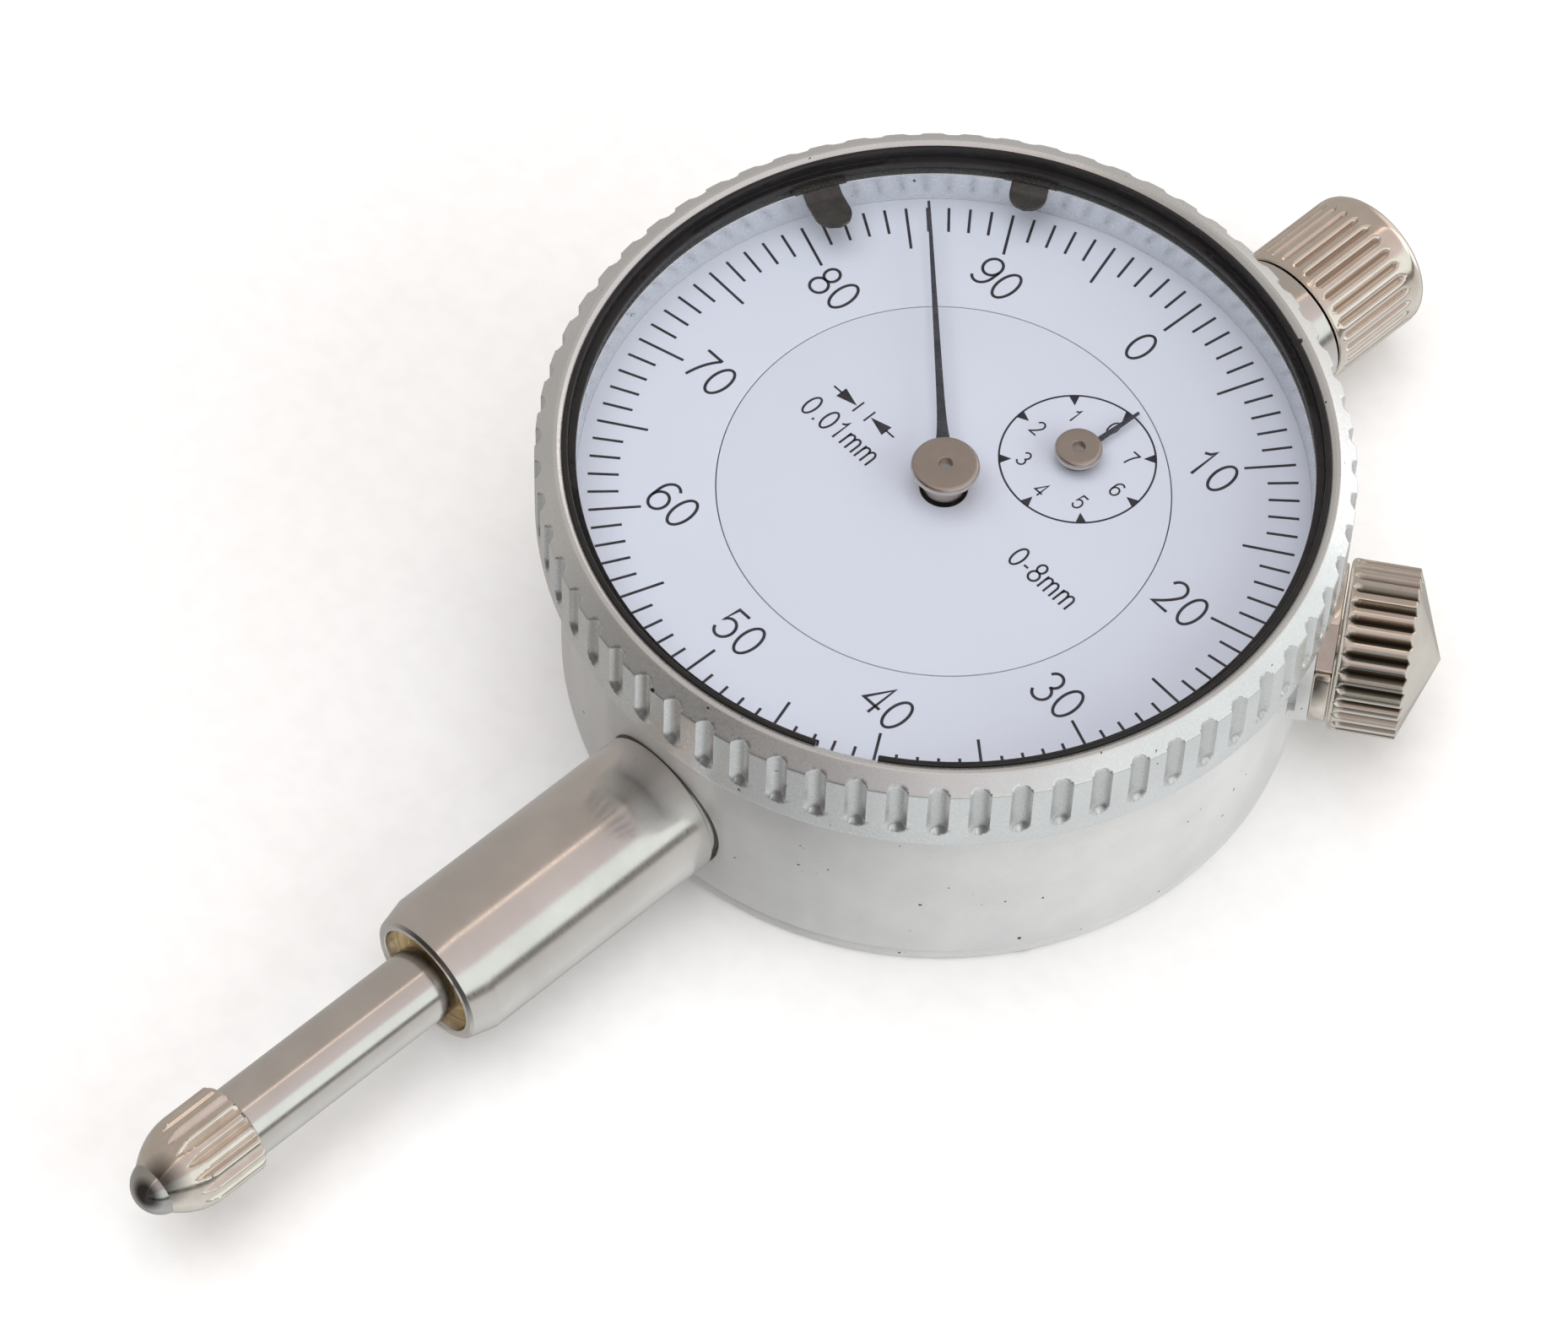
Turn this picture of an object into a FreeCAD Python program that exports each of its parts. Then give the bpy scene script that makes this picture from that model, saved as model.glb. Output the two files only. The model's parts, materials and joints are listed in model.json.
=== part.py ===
import FreeCAD, Part
import Sketcher
import math
import os
from FreeCAD import Placement, Rotation, Vector

# A dial indicator that reads 0.01 mm over 8 mm, lying on its back.
# Frame: origin at the centre of the back cover's outer face, +Z towards the dial,
# and the 8 mm stem along -Y. All sizes are in millimetres.

doc = FreeCAD.newDocument("DialIndicator")
sheet = doc.addObject("Spreadsheet::Sheet", "Sizes")


class Size:
    """A number that remembers the sheet expression that gives it."""

    def __init__(self, value, text):
        self.value = value
        self.text = text

    def __float__(self):
        return self.value

    def __add__(self, other):
        return Size(self.value + float(other), f"({self.text} + {text_of(other)})")

    def __radd__(self, other):
        return Size(float(other) + self.value, f"({text_of(other)} + {self.text})")

    def __sub__(self, other):
        return Size(self.value - float(other), f"({self.text} - {text_of(other)})")

    def __rsub__(self, other):
        return Size(float(other) - self.value, f"({text_of(other)} - {self.text})")

    def __mul__(self, other):
        return Size(self.value * float(other), f"({self.text} * {text_of(other)})")

    def __rmul__(self, other):
        return self * other

    def __truediv__(self, other):
        return Size(self.value / float(other), f"({self.text} / {text_of(other)})")

    def __rtruediv__(self, other):
        return Size(float(other) / self.value, f"({text_of(other)} / {self.text})")

    def __neg__(self):
        return Size(-self.value, f"(-1 * {self.text})")


def text_of(size):
    """The expression for a size, or the digits of a plain number."""
    return size.text if isinstance(size, Size) else f"{float(size):.6f}"


def cosine(angle):
    return Size(math.cos(math.radians(float(angle))), f"cos({text_of(angle)})")


def sine(angle):
    return Size(math.sin(math.radians(float(angle))), f"sin({text_of(angle)})")


class Table:
    """Writes each driving size to the next row of the sheet and keeps it by name."""

    def __init__(self):
        self.rows = 0

    def put(self, **sizes):
        for alias, value in sizes.items():
            self.rows += 1
            sheet.set(f"A{self.rows}", alias)
            sheet.set(f"B{self.rows}", str(value))
            sheet.setAlias(f"B{self.rows}", alias)
            setattr(self, alias, Size(float(value), f"Sizes.{alias}"))


size = Table()

# Case: a round cup, its web and the spigot that the bezel turns on.
size.put(case_radius=19.7, case_bore=17.1, case_top=12.9, web_low=11.6, web_high=12.8, web_bore=12.6)
size.put(spigot_radius=18.5, spigot_top=14.0, boss_half=5.0, boss_inner=15.6, boss_outer=17.5, boss_top=10.2)
size.put(cover_thick=1.2, cover_radius=19.55, cover_edge=0.3, cover_screw_circle=18.3)
size.put(cover_screw_head=1.1, cover_screw_shank=0.7, cover_screw_sink=0.9, cover_screw_length=3.4)

# Spindle line: everything on it is centred on this height above the back.
size.put(line_height=5.4, stem_radius=4.0, stem_end=35.75, stem_taper=1.6, stem_mouth=3.4, stem_bore=3.0)
size.put(stem_relief=0.2, stem_seat_end=18.9, stem_shoulder=19.75, stem_lead=0.3, stem_bore_lead=0.15)
size.put(stem_lip=0.8, bush_length=6.5, spindle_radius=2.0, bush_gap=0.03, sleeve_radius=3.95)
size.put(sleeve_end=26.5, sleeve_nose=3.2, sleeve_nose_end=30.0, sleeve_nose_bore=2.6)
size.put(cap_radius=4.04, cap_start=26.6, cap_end=33.6, cap_roof=1.2, cap_round=1.3, cap_edge=0.25)
size.put(cap_knurl_start=27.15, cap_knurl_end=31.75, knurl_depth=0.32, knurl_width=0.62, knurl_teeth=30)

# Spindle, its rack and its contact point.
size.put(spindle_low=48.2, spindle_top=23.5, rack_module=0.159155, rack_line=1.6, rack_teeth=21)
size.put(rack_run_out=0.35, point_radius=2.5, point_neck=2.2, point_shoulder=0.45, point_body=50.8)
size.put(point_ogive=52.1, point_ogive_radius=2.3, point_end=53.45, point_end_radius=1.42, ball_radius=1.5)
size.put(point_end_arc=4.2, point_ogive_arc=7.5, point_knurl_run=0.6, point_knurl_gap=0.05)
size.put(ball_height=53.05, point_thread=1.25, point_thread_length=5.0, flute_depth=0.26, flute_width=0.5)
size.put(flute_teeth=18, guide_pin_radius=0.6, guide_pin_reach=6.9, guide_roller_radius=0.95, travel=8.3)
size.put(guide_roller_start=3.3, guide_roller_thick=1.0, rail_drop=2.2, rail_screw_head=0.72)
size.put(rail_screw_shank=0.5, rail_screw_head_thick=0.4)
size.put(point_edge=0.2, spindle_edge=0.15, spindle_top_edge=0.3)

# Movement plates and pillars.
size.put(rear_low=7.7, plate_thick=0.8, rear_radius=15.2, front_low=10.4, front_thick=1.2, front_radius=16.8)
size.put(pillar_radius=1.2, pillar_circle=13.6, pillar_turn=8.0)
size.put(movement_screw_head=1.1, movement_screw_shank=0.6, screw_entry=0.7, cock_screw_head_thick=0.45)
size.put(pinion_clearance=1.7, pillar_tap=1.4, front_screw_entry=1.1, plate_screw_entry=1.3)
size.put(head_thick=0.5, web_screw_circle=15.3, cock_low=2.0, bush_radius=1.1, pivot_radius=0.25)
size.put(pivot_gap=0.03, dial_feet_circle=9.5, dial_foot_radius=0.8)

# Gear train: rack, 16-leaf pinion, 80 to 10 to the main hand, 10 to 80 to the small hand.
size.put(gear_module=0.16, gear_teeth=80, pinion_teeth=10, rack_pinion_teeth=16, gear_low=8.8, gear_thick=0.4)
size.put(pinion_half=1.1, pivot_shake=0.05, pivot_inset=0.1, front_pivot=0.9, crossing_circle=3.55)
size.put(crossing_radius=1.55, pinion_overhang=0.15, arbor_step=0.1)
size.put(drive_y=-6.6, arbor_radius=0.5, counter_x=3.334, counter_y=6.382, counter_arbor_radius=0.4)
size.put(collet_radius=1.0, collet_low=9.45, collet_thick=0.5, hairspring_pitch=0.42, hairspring_thick=0.12)
size.put(stud_radius=0.3, stud_gap=0.01)

# Dial: a fixed middle disc, and a scale ring that turns with the bezel.
size.put(dial_height=14.6, dial_thick=0.48, disc_radius=11.62, ring_inner=11.74, ring_outer=18.9)
size.put(disc_centre_hole=1.5, disc_counter_hole=0.95)

# Bezel, crystal and limit markers.
size.put(bezel_radius=21.0, bezel_low=13.1, bezel_bore=18.56, bezel_wall=18.92, seat_height=16.7)
size.put(seat_radius=19.6, rim_height=18.35, rim_radius=20.3, rim_low=17.55, bezel_edge=0.3)
size.put(flute_count=64, bezel_flute_low=14.35, bezel_flute_round=0.607)
size.put(bezel_flute_centre=21.257, groove_low=13.42, groove_high=13.74)
size.put(groove_floor=18.05, groove_roof=18.95)
size.put(snap_inner=18.1, snap_outer=18.85, snap_thick=0.24, snap_opening_half=2.2)
size.put(gasket_height=17.3, gasket_top=17.66, track_radius=19.3, crystal_radius=19.3, crystal_thick=0.52)
size.put(marker_foot_outer=19.24, marker_foot_inner=18.97, marker_low=16.78, marker_high=17.22)
size.put(marker_blade_low=16.95, marker_blade_thick=0.2, marker_width=2.0, marker_foot_half=4.4)
size.put(marker_a_turn=293.3, marker_b_turn=327.9, marker_a_tip=16.2, marker_b_tip=17.2)
size.put(split_turn=148.8, split_width=3.15, crystal_edge=0.12, gasket_drop=0.06, gasket_play=0.04)

# Hands. Angles are clockwise from +Y, as a dial is read.
size.put(main_turn=311.3, small_turn=3.6, hand_low=15.85, hand_thick=0.14, hand_tip=17.7, hand_root=0.3)
size.put(hand_end=0.09, hand_boss=1.45, cap_hub_radius=1.78, cap_hub_top=16.72, cap_hub_thick=0.68)
size.put(hub_neck=1.1, hub_neck_low=14.75, hub_hole=0.35, small_hand_low=14.98, small_hand_thick=0.13)
size.put(small_hand_tip=4.2, small_hand_root=0.16, small_hand_end=0.07, small_boss=1.1)
size.put(small_hub_radius=1.25, small_hub_top=15.72)
size.put(small_neck=0.65, small_neck_low=14.72, arbor_recess=0.3, small_arbor_recess=0.25, hub_play=0.03)

# Bezel clamp, on a line that runs radially out of the case.
size.put(clamp_turn=53.6, clamp_height=6.6, clamp_boss=4.3, clamp_boss_end=20.25, clamp_washer=4.2)
size.put(clamp_washer_end=21.2, clamp_notch_width=2.7, clamp_notch_depth=1.5, clamp_notch_turn=42.0)
size.put(clamp_head=4.54, clamp_head_start=21.3, clamp_head_end=24.9, clamp_apex=26.64, clamp_shank=1.25)
size.put(clamp_screw_end=16.6, clamp_hole=1.35, clamp_knurl_start=21.75, shoe_inner=17.25, shoe_outer=18.34)
size.put(shoe_half=1.5, shoe_low=4.4, shoe_top=13.36, shoe_pocket=18.56, shoe_side_play=0.05)
size.put(shoe_end_play=0.2, undercut_side=3.8, undercut_width=0.9, undercut_root=19.15, undercut_depth=0.42)
size.put(undercut_low=5.9, undercut_height=2.4)
size.put(clamp_shank_edge=0.25, clamp_head_edge=0.3, shoe_thread_play=0.02)
doc.recompute()

# How far a cutting tool passes beyond what it cuts.
CUT_MARGIN = 0.5

# Coils. The closed end loops are a little smaller than the coil, so that they meet its wire.
RETURN_COIL = 0.8
RETURN_LOOP = 0.76
RETURN_WIRE = 0.1
RETURN_PITCH = 0.35
HAIRSPRING_TURNS = 5
HAIRSPRING_GAP = 0.06

X_TURN = Rotation(Vector(0, 1, 0), 90)
Y_TURN = Rotation(Vector(1, 0, 0), -90)
CLAMP_TURN = Rotation(Vector(0, 0, 1), -float(size.clamp_turn))

nodes = []


def publish(piece, name):
    """Give a finished sub-part its name and list it for export."""
    piece.Label = name
    nodes.append(piece)
    return piece


def bind(target, **sizes):
    """Bind properties of an object to the sheet."""
    for path, amount in sizes.items():
        target.setExpression(path.replace("__", "."), text_of(amount))


def place(target, position=(0, 0, 0), rotation=Rotation()):
    """Turn an object and bind where it stands."""
    target.Placement = Placement(Vector(*[float(part) for part in position]), rotation)
    x, y, z = position
    bind(target, Placement__Base__x=x, Placement__Base__y=y, Placement__Base__z=z)
    return target


# Sketches ------------------------------------------------------------------


def plane_of(body, role):
    for feature in body.Origin.OriginFeatures:
        if feature.Role == role:
            return feature
    raise ValueError(role)


def new_sketch(body, role="XY_Plane", height=None):
    """A sketch on one of the body's own origin planes, lifted along that plane's normal."""
    sketch = body.newObject("Sketcher::SketchObject", "Profile")
    sketch.AttachmentSupport = [(plane_of(body, role), "")]
    sketch.MapMode = "FlatFace"
    if height is not None:
        sketch.AttachmentOffset = Placement(Vector(0, 0, float(height)), Rotation())
        bind(sketch, AttachmentOffset__Base__z=height)
    return sketch


def pin(sketch, kind, element, point, amount):
    """Dimension one point of an element from the sketch's origin."""
    index = sketch.addConstraint(Sketcher.Constraint(kind, -1, 1, element, point, float(amount)))
    sketch.setExpression(f"Constraints[{index}]", text_of(amount))


def arc_between(start, end, radius):
    """An arc from start to end; a positive radius turns left, a negative one right."""
    middle = (start + end) / 2
    chord = end - start
    reach = math.sqrt(max(radius * radius - chord.Length * chord.Length / 4, 0.0))
    left = Vector(-chord.y, chord.x, 0).normalize()
    centre = middle + left * (reach if radius > 0 else -reach)
    first, last = (start, end) if radius > 0 else (end, start)
    low = math.atan2(first.y - centre.y, first.x - centre.x)
    high = math.atan2(last.y - centre.y, last.x - centre.x)
    if high < low:
        high += 2 * math.pi
    circle = Part.Circle(centre, Vector(0, 0, 1), abs(radius))
    return Part.ArcOfCircle(circle, low, high)


def draw(sketch, corners):
    """A closed outline. A corner is (x, y), or (x, y, radius) where an arc leaves it."""
    ends = []
    for index, corner in enumerate(corners):
        following = corners[(index + 1) % len(corners)]
        start = Vector(float(corner[0]), float(corner[1]), 0)
        end = Vector(float(following[0]), float(following[1]), 0)
        if len(corner) == 2:
            sketch.addGeometry(Part.LineSegment(start, end), False)
            ends.append((1, 2))
        else:
            sketch.addGeometry(arc_between(start, end, float(corner[2])), False)
            ends.append((1, 2) if float(corner[2]) > 0 else (2, 1))
    for index, corner in enumerate(corners):
        following = (index + 1) % len(corners)
        joined = Sketcher.Constraint("Coincident", index, ends[index][1], following, ends[following][0])
        sketch.addConstraint(joined)
        pin(sketch, "DistanceX", index, ends[index][0], corner[0])
        pin(sketch, "DistanceY", index, ends[index][0], corner[1])
        if len(corner) == 3:
            radius = corner[2] if float(corner[2]) > 0 else -corner[2]
            held = sketch.addConstraint(Sketcher.Constraint("Radius", index, float(radius)))
            sketch.setExpression(f"Constraints[{held}]", text_of(radius))


def draw_circle(sketch, x, y, radius):
    """A circle whose centre and radius are dimensioned."""
    circle = Part.Circle(Vector(float(x), float(y), 0), Vector(0, 0, 1), float(radius))
    index = sketch.addGeometry(circle, False)
    pin(sketch, "DistanceX", index, 3, x)
    pin(sketch, "DistanceY", index, 3, y)
    held = sketch.addConstraint(Sketcher.Constraint("Radius", index, float(radius)))
    sketch.setExpression(f"Constraints[{held}]", text_of(radius))


# Solids --------------------------------------------------------------------


def new_body(name):
    return doc.addObject("PartDesign::Body", name)


def turned(name, corners, axis="Z"):
    """A lathe-turned body: corners are (radius, distance along the axis)."""
    body = new_body(name)
    sketch = new_sketch(body, "XZ_Plane" if axis == "Z" else "XY_Plane")
    draw(sketch, corners)
    revolution = body.newObject("PartDesign::Revolution", "Turned")
    revolution.Profile = sketch
    revolution.ReferenceAxis = (sketch, ["V_Axis"])
    revolution.Angle = 360
    return body


def padded(name, low, thick, corners=None, circles=()):
    """A flat plate cut from an outline, or from circles, standing from low to low + thick."""
    body = new_body(name)
    sketch = new_sketch(body, "XY_Plane", low)
    if corners is not None:
        draw(sketch, corners)
    for x, y, radius in circles:
        draw_circle(sketch, x, y, radius)
    pad = body.newObject("PartDesign::Pad", "Plate")
    pad.Profile = sketch
    bind(pad, Length=thick)
    return body


def volume_of(piece):
    doc.recompute()
    return piece.Shape.Volume


def check_cut(body, before):
    """Stop if a cut has taken nothing away."""
    if volume_of(body) > before - 1e-4:
        raise ValueError(f"a cut in {body.Name} removed nothing")


def pocketed(body, corners=None, circles=(), low=None, length=None, role="XY_Plane"):
    """Cut an outline or circles: right through, or upwards from low for a length."""
    before = volume_of(body)
    sketch = new_sketch(body, role, low)
    if corners is not None:
        draw(sketch, corners)
    for x, y, radius in circles:
        draw_circle(sketch, x, y, radius)
    pocket = body.newObject("PartDesign::Pocket", "Cut")
    pocket.Profile = sketch
    if length is None:
        pocket.Type = "ThroughAll"
        pocket.SideType = "Symmetric"
    else:
        pocket.Reversed = True
        bind(pocket, Length=length)
    check_cut(body, before)
    return pocket


def repeat_round(body, feature, axis_role, count):
    """Repeat a cut round one of the body's own axes."""
    before = volume_of(body)
    pattern = body.newObject("PartDesign::PolarPattern", "Round")
    pattern.Originals = [feature]
    pattern.Axis = (plane_of(body, axis_role), [""])
    pattern.Angle = 360
    pattern.Occurrences = int(float(count))
    bind(pattern, Occurrences=count)
    body.Tip = pattern
    check_cut(body, before)


def cylinder(radius, length, position=(0, 0, 0), rotation=Rotation(), name="Cylinder"):
    rod = doc.addObject("Part::Cylinder", name)
    bind(rod, Radius=radius, Height=length)
    return place(rod, position, rotation)


def box(x_size, y_size, z_size, position=(0, 0, 0), rotation=Rotation(), name="Box"):
    block = doc.addObject("Part::Box", name)
    bind(block, Length=x_size, Width=y_size, Height=z_size)
    return place(block, position, rotation)


def fused(pieces, name="Fuse"):
    joined = doc.addObject("Part::MultiFuse", name)
    joined.Shapes = pieces
    return joined


def cut(base, tools, name="Cut"):
    """Subtract one or more tools from a base."""
    result = doc.addObject("Part::Cut", name)
    result.Base = base
    result.Tool = tools[0] if len(tools) == 1 else fused(tools, name + "Tools")
    before = volume_of(base)
    check_cut(result, before)
    return result


def round_spots(radius, first, count):
    """Evenly spaced places on a circle, the first at an angle from +X."""
    spots = []
    for index in range(count):
        angle = first + index * 360.0 / count
        spots.append((radius * cosine(angle), radius * sine(angle)))
    return spots


def radial(distance, side=0.0, height=None):
    """A place on the clamp's line: distance out from the centre, side clockwise of it."""
    height = size.clamp_height if height is None else height
    out = sine(size.clamp_turn)
    along = cosine(size.clamp_turn)
    return (distance * out + side * along, distance * along - side * out, height)


# Case ----------------------------------------------------------------------


def case_shell():
    """The case wall, its web under the dial, and the grooved spigot for the bezel."""
    return turned("CaseShell", [
        (size.case_bore, size.cover_thick),
        (size.case_radius, size.cover_thick),
        (size.case_radius, size.case_top),
        (size.spigot_radius, size.case_top),
        (size.spigot_radius, size.groove_low),
        (size.groove_floor, size.groove_low),
        (size.groove_floor, size.groove_high),
        (size.spigot_radius, size.groove_high),
        (size.spigot_radius, size.spigot_top),
        (size.case_bore, size.spigot_top),
        (size.case_bore, size.web_high),
        (size.web_bore, size.web_high),
        (size.web_bore, size.web_low),
        (size.case_bore, size.web_low),
    ])


def case_bosses():
    """Inner blocks that hold the stem and the sleeve, and the outer boss of the clamp."""
    depth = size.boss_outer - size.boss_inner
    width = size.boss_half * 2
    height = size.boss_top - size.cover_thick
    low = (-size.boss_half, -size.boss_outer, size.cover_thick)
    high = (-size.boss_half, size.boss_inner, size.cover_thick)
    boss_root = size.case_radius - CUT_MARGIN * 2
    boss_length = size.clamp_boss_end - boss_root
    clamp_boss = cylinder(size.clamp_boss, boss_length, radial(boss_root), CLAMP_TURN * Y_TURN)
    return [box(width, depth, height, low), box(width, depth, height, high), clamp_boss]


def shoe_pocket():
    """The slot in the case wall that the clamp shoe slides in, open at the top of the spigot."""
    half = size.shoe_half + size.shoe_side_play
    inner = size.case_bore - CUT_MARGIN
    low = size.shoe_low - size.shoe_end_play
    height = size.spigot_top - low + CUT_MARGIN
    return box(half * 2, size.shoe_pocket - inner, height, radial(inner, -half, low), CLAMP_TURN)


def boss_undercut():
    """A small notch where the side of the clamp boss meets the case wall."""
    corner = radial(size.undercut_root, size.undercut_side, size.undercut_low)
    return box(size.undercut_width, size.undercut_depth, size.undercut_height, corner, CLAMP_TURN)


def case_cutters():
    """Holes and the clamp pocket of the case."""
    inner = size.boss_inner - CUT_MARGIN
    outer = size.case_radius + CUT_MARGIN
    reach = outer - inner
    clamp_reach = size.clamp_boss_end - inner + CUT_MARGIN
    tools = [
        cylinder(size.stem_radius, reach, (0.0, -outer, size.line_height), Y_TURN),
        cylinder(size.sleeve_radius, reach, (0.0, inner, size.line_height), Y_TURN),
        cylinder(size.clamp_hole, clamp_reach, radial(inner), CLAMP_TURN * Y_TURN),
        shoe_pocket(),
        boss_undercut(),
    ]
    for x, y in cover_screw_spots():
        tools.append(cylinder(size.cover_screw_shank, size.cover_screw_length, (x, y, size.cover_thick)))
    for x, y in web_screw_spots():
        tools.append(cylinder(size.movement_screw_shank, size.web_high - size.web_low, (x, y, size.web_low)))
    return tools


def case_body():
    whole = fused([case_shell()] + case_bosses(), "CaseBlank")
    publish(cut(whole, case_cutters(), "CaseBody"), "case_body")


def cover_screw_spots():
    return round_spots(size.cover_screw_circle, 60.0, 4)


def web_screw_spots():
    return round_spots(size.web_screw_circle, 60.0, 3)


def pillar_spots():
    first = round_spots(size.pillar_circle, size.pillar_turn, 2)
    second = round_spots(size.pillar_circle, size.pillar_turn - 50.0, 2)
    return first + second


def back_cover():
    """A turned plate, screwed to the case's rim."""
    body = turned("BackCover", [
        (0.0, 0.0),
        (size.cover_radius - size.cover_edge, 0.0),
        (size.cover_radius, size.cover_edge),
        (size.cover_radius, size.cover_thick),
        (0.0, size.cover_thick),
    ])
    tools = []
    for x, y in cover_screw_spots():
        tools.append(cylinder(size.cover_screw_head, size.cover_screw_sink, (x, y, 0.0)))
        tools.append(cylinder(size.cover_screw_shank, size.cover_thick, (x, y, 0.0)))
    publish(cut(body, tools, "BackCoverDrilled"), "back_cover")


def slotted_screw(head, shank, head_thick, length, x, y, head_low, name):
    """A cheese-head screw, head down, with a slot across its head."""
    solid = fused([
        cylinder(head, head_thick, (x, y, head_low)),
        cylinder(shank, length, (x, y, head_low + head_thick)),
    ])
    slot_width = head * 0.3
    slot = box(head * 2.4, slot_width, head_thick * 0.4, (x - head * 1.2, y - slot_width / 2, head_low))
    return cut(solid, [slot], name)


def back_cover_screws():
    length = size.cover_thick - size.cover_screw_sink + size.cover_screw_length
    head_thick = size.cover_screw_sink - 0.1
    screws = []
    for x, y in cover_screw_spots():
        screws.append(slotted_screw(
            size.cover_screw_head, size.cover_screw_shank, head_thick, length, x, y, 0.1, "CoverScrew",
        ))
    publish(compound(screws, "BackCoverScrews"), "back_cover_screws")


def compound(pieces, name):
    """Separate solids that share one node."""
    group = doc.addObject("Part::Compound", name)
    group.Links = pieces
    return group


def on_line(body):
    """Lift a body that was turned about Y to the spindle line."""
    return place(body, (0.0, 0.0, size.line_height))


def stem():
    """The 8 mm mounting stem: a tube with a tapered mouth, and a shallow relief where it leaves the case."""
    relief = size.stem_radius - size.stem_relief
    body = turned("Stem", [
        (size.stem_bore, -size.boss_inner),
        (size.stem_radius, -size.boss_inner),
        (size.stem_radius, -size.stem_seat_end),
        (relief, -size.stem_seat_end),
        (relief, -size.stem_shoulder),
        (size.stem_radius, -size.stem_shoulder),
        (size.stem_radius, -(size.stem_end - size.stem_taper)),
        (size.stem_mouth + size.stem_lead, -(size.stem_end - size.stem_lead)),
        (size.stem_mouth, -size.stem_end),
        (size.stem_bore + size.stem_bore_lead, -size.stem_end),
        (size.stem_bore, -(size.stem_end - size.stem_bore_lead)),
    ], "Y")
    publish(on_line(body), "stem")


def plain_bush(name, label, low, length, outer):
    """A reamed brass bush that the spindle runs in."""
    bore = size.spindle_radius + size.bush_gap
    body = turned(name, [
        (bore, low + 0.2),
        (bore + 0.2, low),
        (outer, low),
        (outer, low + length),
        (bore + 0.2, low + length),
        (bore, low + length - 0.2),
    ], "Y")
    publish(on_line(body), label)


def cap_sleeve():
    """The upper sleeve: it carries the upper bush, and the dust cap screws on its nose."""
    body = turned("CapSleeve", [
        (size.stem_bore, size.boss_inner),
        (size.sleeve_radius, size.boss_inner),
        (size.sleeve_radius, size.sleeve_end),
        (size.sleeve_nose, size.sleeve_end),
        (size.sleeve_nose, size.sleeve_nose_end),
        (size.sleeve_nose_bore, size.sleeve_nose_end),
        (size.sleeve_nose_bore, size.boss_inner + size.bush_length),
        (size.stem_bore, size.boss_inner + size.bush_length),
    ], "Y")
    publish(on_line(body), "cap_sleeve")


def knurl(body, radius, start, end, count, depth, width):
    """Straight knurling round a body turned about Y: V grooves, repeated."""
    before = volume_of(body)
    sketch = new_sketch(body, "XZ_Plane", -end)
    outer = radius + 0.25
    half = width / 2
    draw(sketch, [(-half, outer), (0.0, radius - depth), (half, outer)])
    pocket = body.newObject("PartDesign::Pocket", "Groove")
    pocket.Profile = sketch
    pocket.Reversed = True
    bind(pocket, Length=end - start)
    check_cut(body, before)
    repeat_round(body, pocket, "Y_Axis", count)


def dust_cap():
    body = turned("DustCap", [
        (size.sleeve_nose, size.cap_start),
        (size.cap_radius - size.cap_edge, size.cap_start),
        (size.cap_radius, size.cap_start + size.cap_edge),
        (size.cap_radius, size.cap_end - size.cap_round, size.cap_round),
        (size.cap_radius - size.cap_round, size.cap_end),
        (0.0, size.cap_end),
        (0.0, size.cap_end - size.cap_roof),
        (size.sleeve_nose, size.cap_end - size.cap_roof),
    ], "Y")
    knurl(body, size.cap_radius, size.cap_knurl_start, size.cap_knurl_end, size.knurl_teeth,
          size.knurl_depth, size.knurl_width)
    publish(on_line(body), "dust_cap")


# Bezel clamp ---------------------------------------------------------------


def on_clamp_line(body):
    """Turn a body that was made about Y to the clamp's radial line."""
    return place(body, (0.0, 0.0, size.clamp_height), CLAMP_TURN)


def clamp_washer():
    """The plate under the clamp screw's head, with a notch in its rim."""
    body = turned("ClampWasher", [
        (size.clamp_hole, size.clamp_boss_end),
        (size.clamp_washer, size.clamp_boss_end),
        (size.clamp_washer, size.clamp_washer_end),
        (size.clamp_hole, size.clamp_washer_end),
    ], "Y")
    on_clamp_line(body)
    half = size.clamp_notch_width / 2
    floor = size.clamp_washer - size.clamp_notch_depth
    notch = box(
        size.clamp_notch_width, size.clamp_washer_end - size.clamp_boss_end + 0.4, 3.0, (-half, 0.0, floor),
    )
    lean = Rotation(Vector(0, 1, 0), float(size.clamp_notch_turn))
    turn = CLAMP_TURN * lean
    start = turn.multVec(Vector(-float(half), float(size.clamp_boss_end) - 0.2, float(floor)))
    notch.setExpression("Placement.Base.x", None)
    notch.setExpression("Placement.Base.y", None)
    notch.setExpression("Placement.Base.z", None)
    notch.Placement = Placement(start + Vector(0, 0, float(size.clamp_height)), turn)
    publish(cut(body, [notch], "ClampWasherNotched"), "clamp_washer")


def clamp_screw():
    """The knurled clamp screw: a coned head and a plain shank that threads into the shoe."""
    body = turned("ClampScrew", [
        (0.0, size.clamp_screw_end),
        (size.clamp_shank - size.clamp_shank_edge, size.clamp_screw_end),
        (size.clamp_shank, size.clamp_screw_end + size.clamp_shank_edge),
        (size.clamp_shank, size.clamp_head_start),
        (size.clamp_head - size.clamp_head_edge, size.clamp_head_start),
        (size.clamp_head, size.clamp_head_start + size.clamp_head_edge),
        (size.clamp_head, size.clamp_head_end),
        (0.0, size.clamp_apex),
    ], "Y")
    knurl(body, size.clamp_head, size.clamp_knurl_start, size.clamp_head_end + 0.6, size.knurl_teeth,
          size.knurl_depth, size.knurl_width)
    publish(on_clamp_line(body), "clamp_screw")


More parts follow.
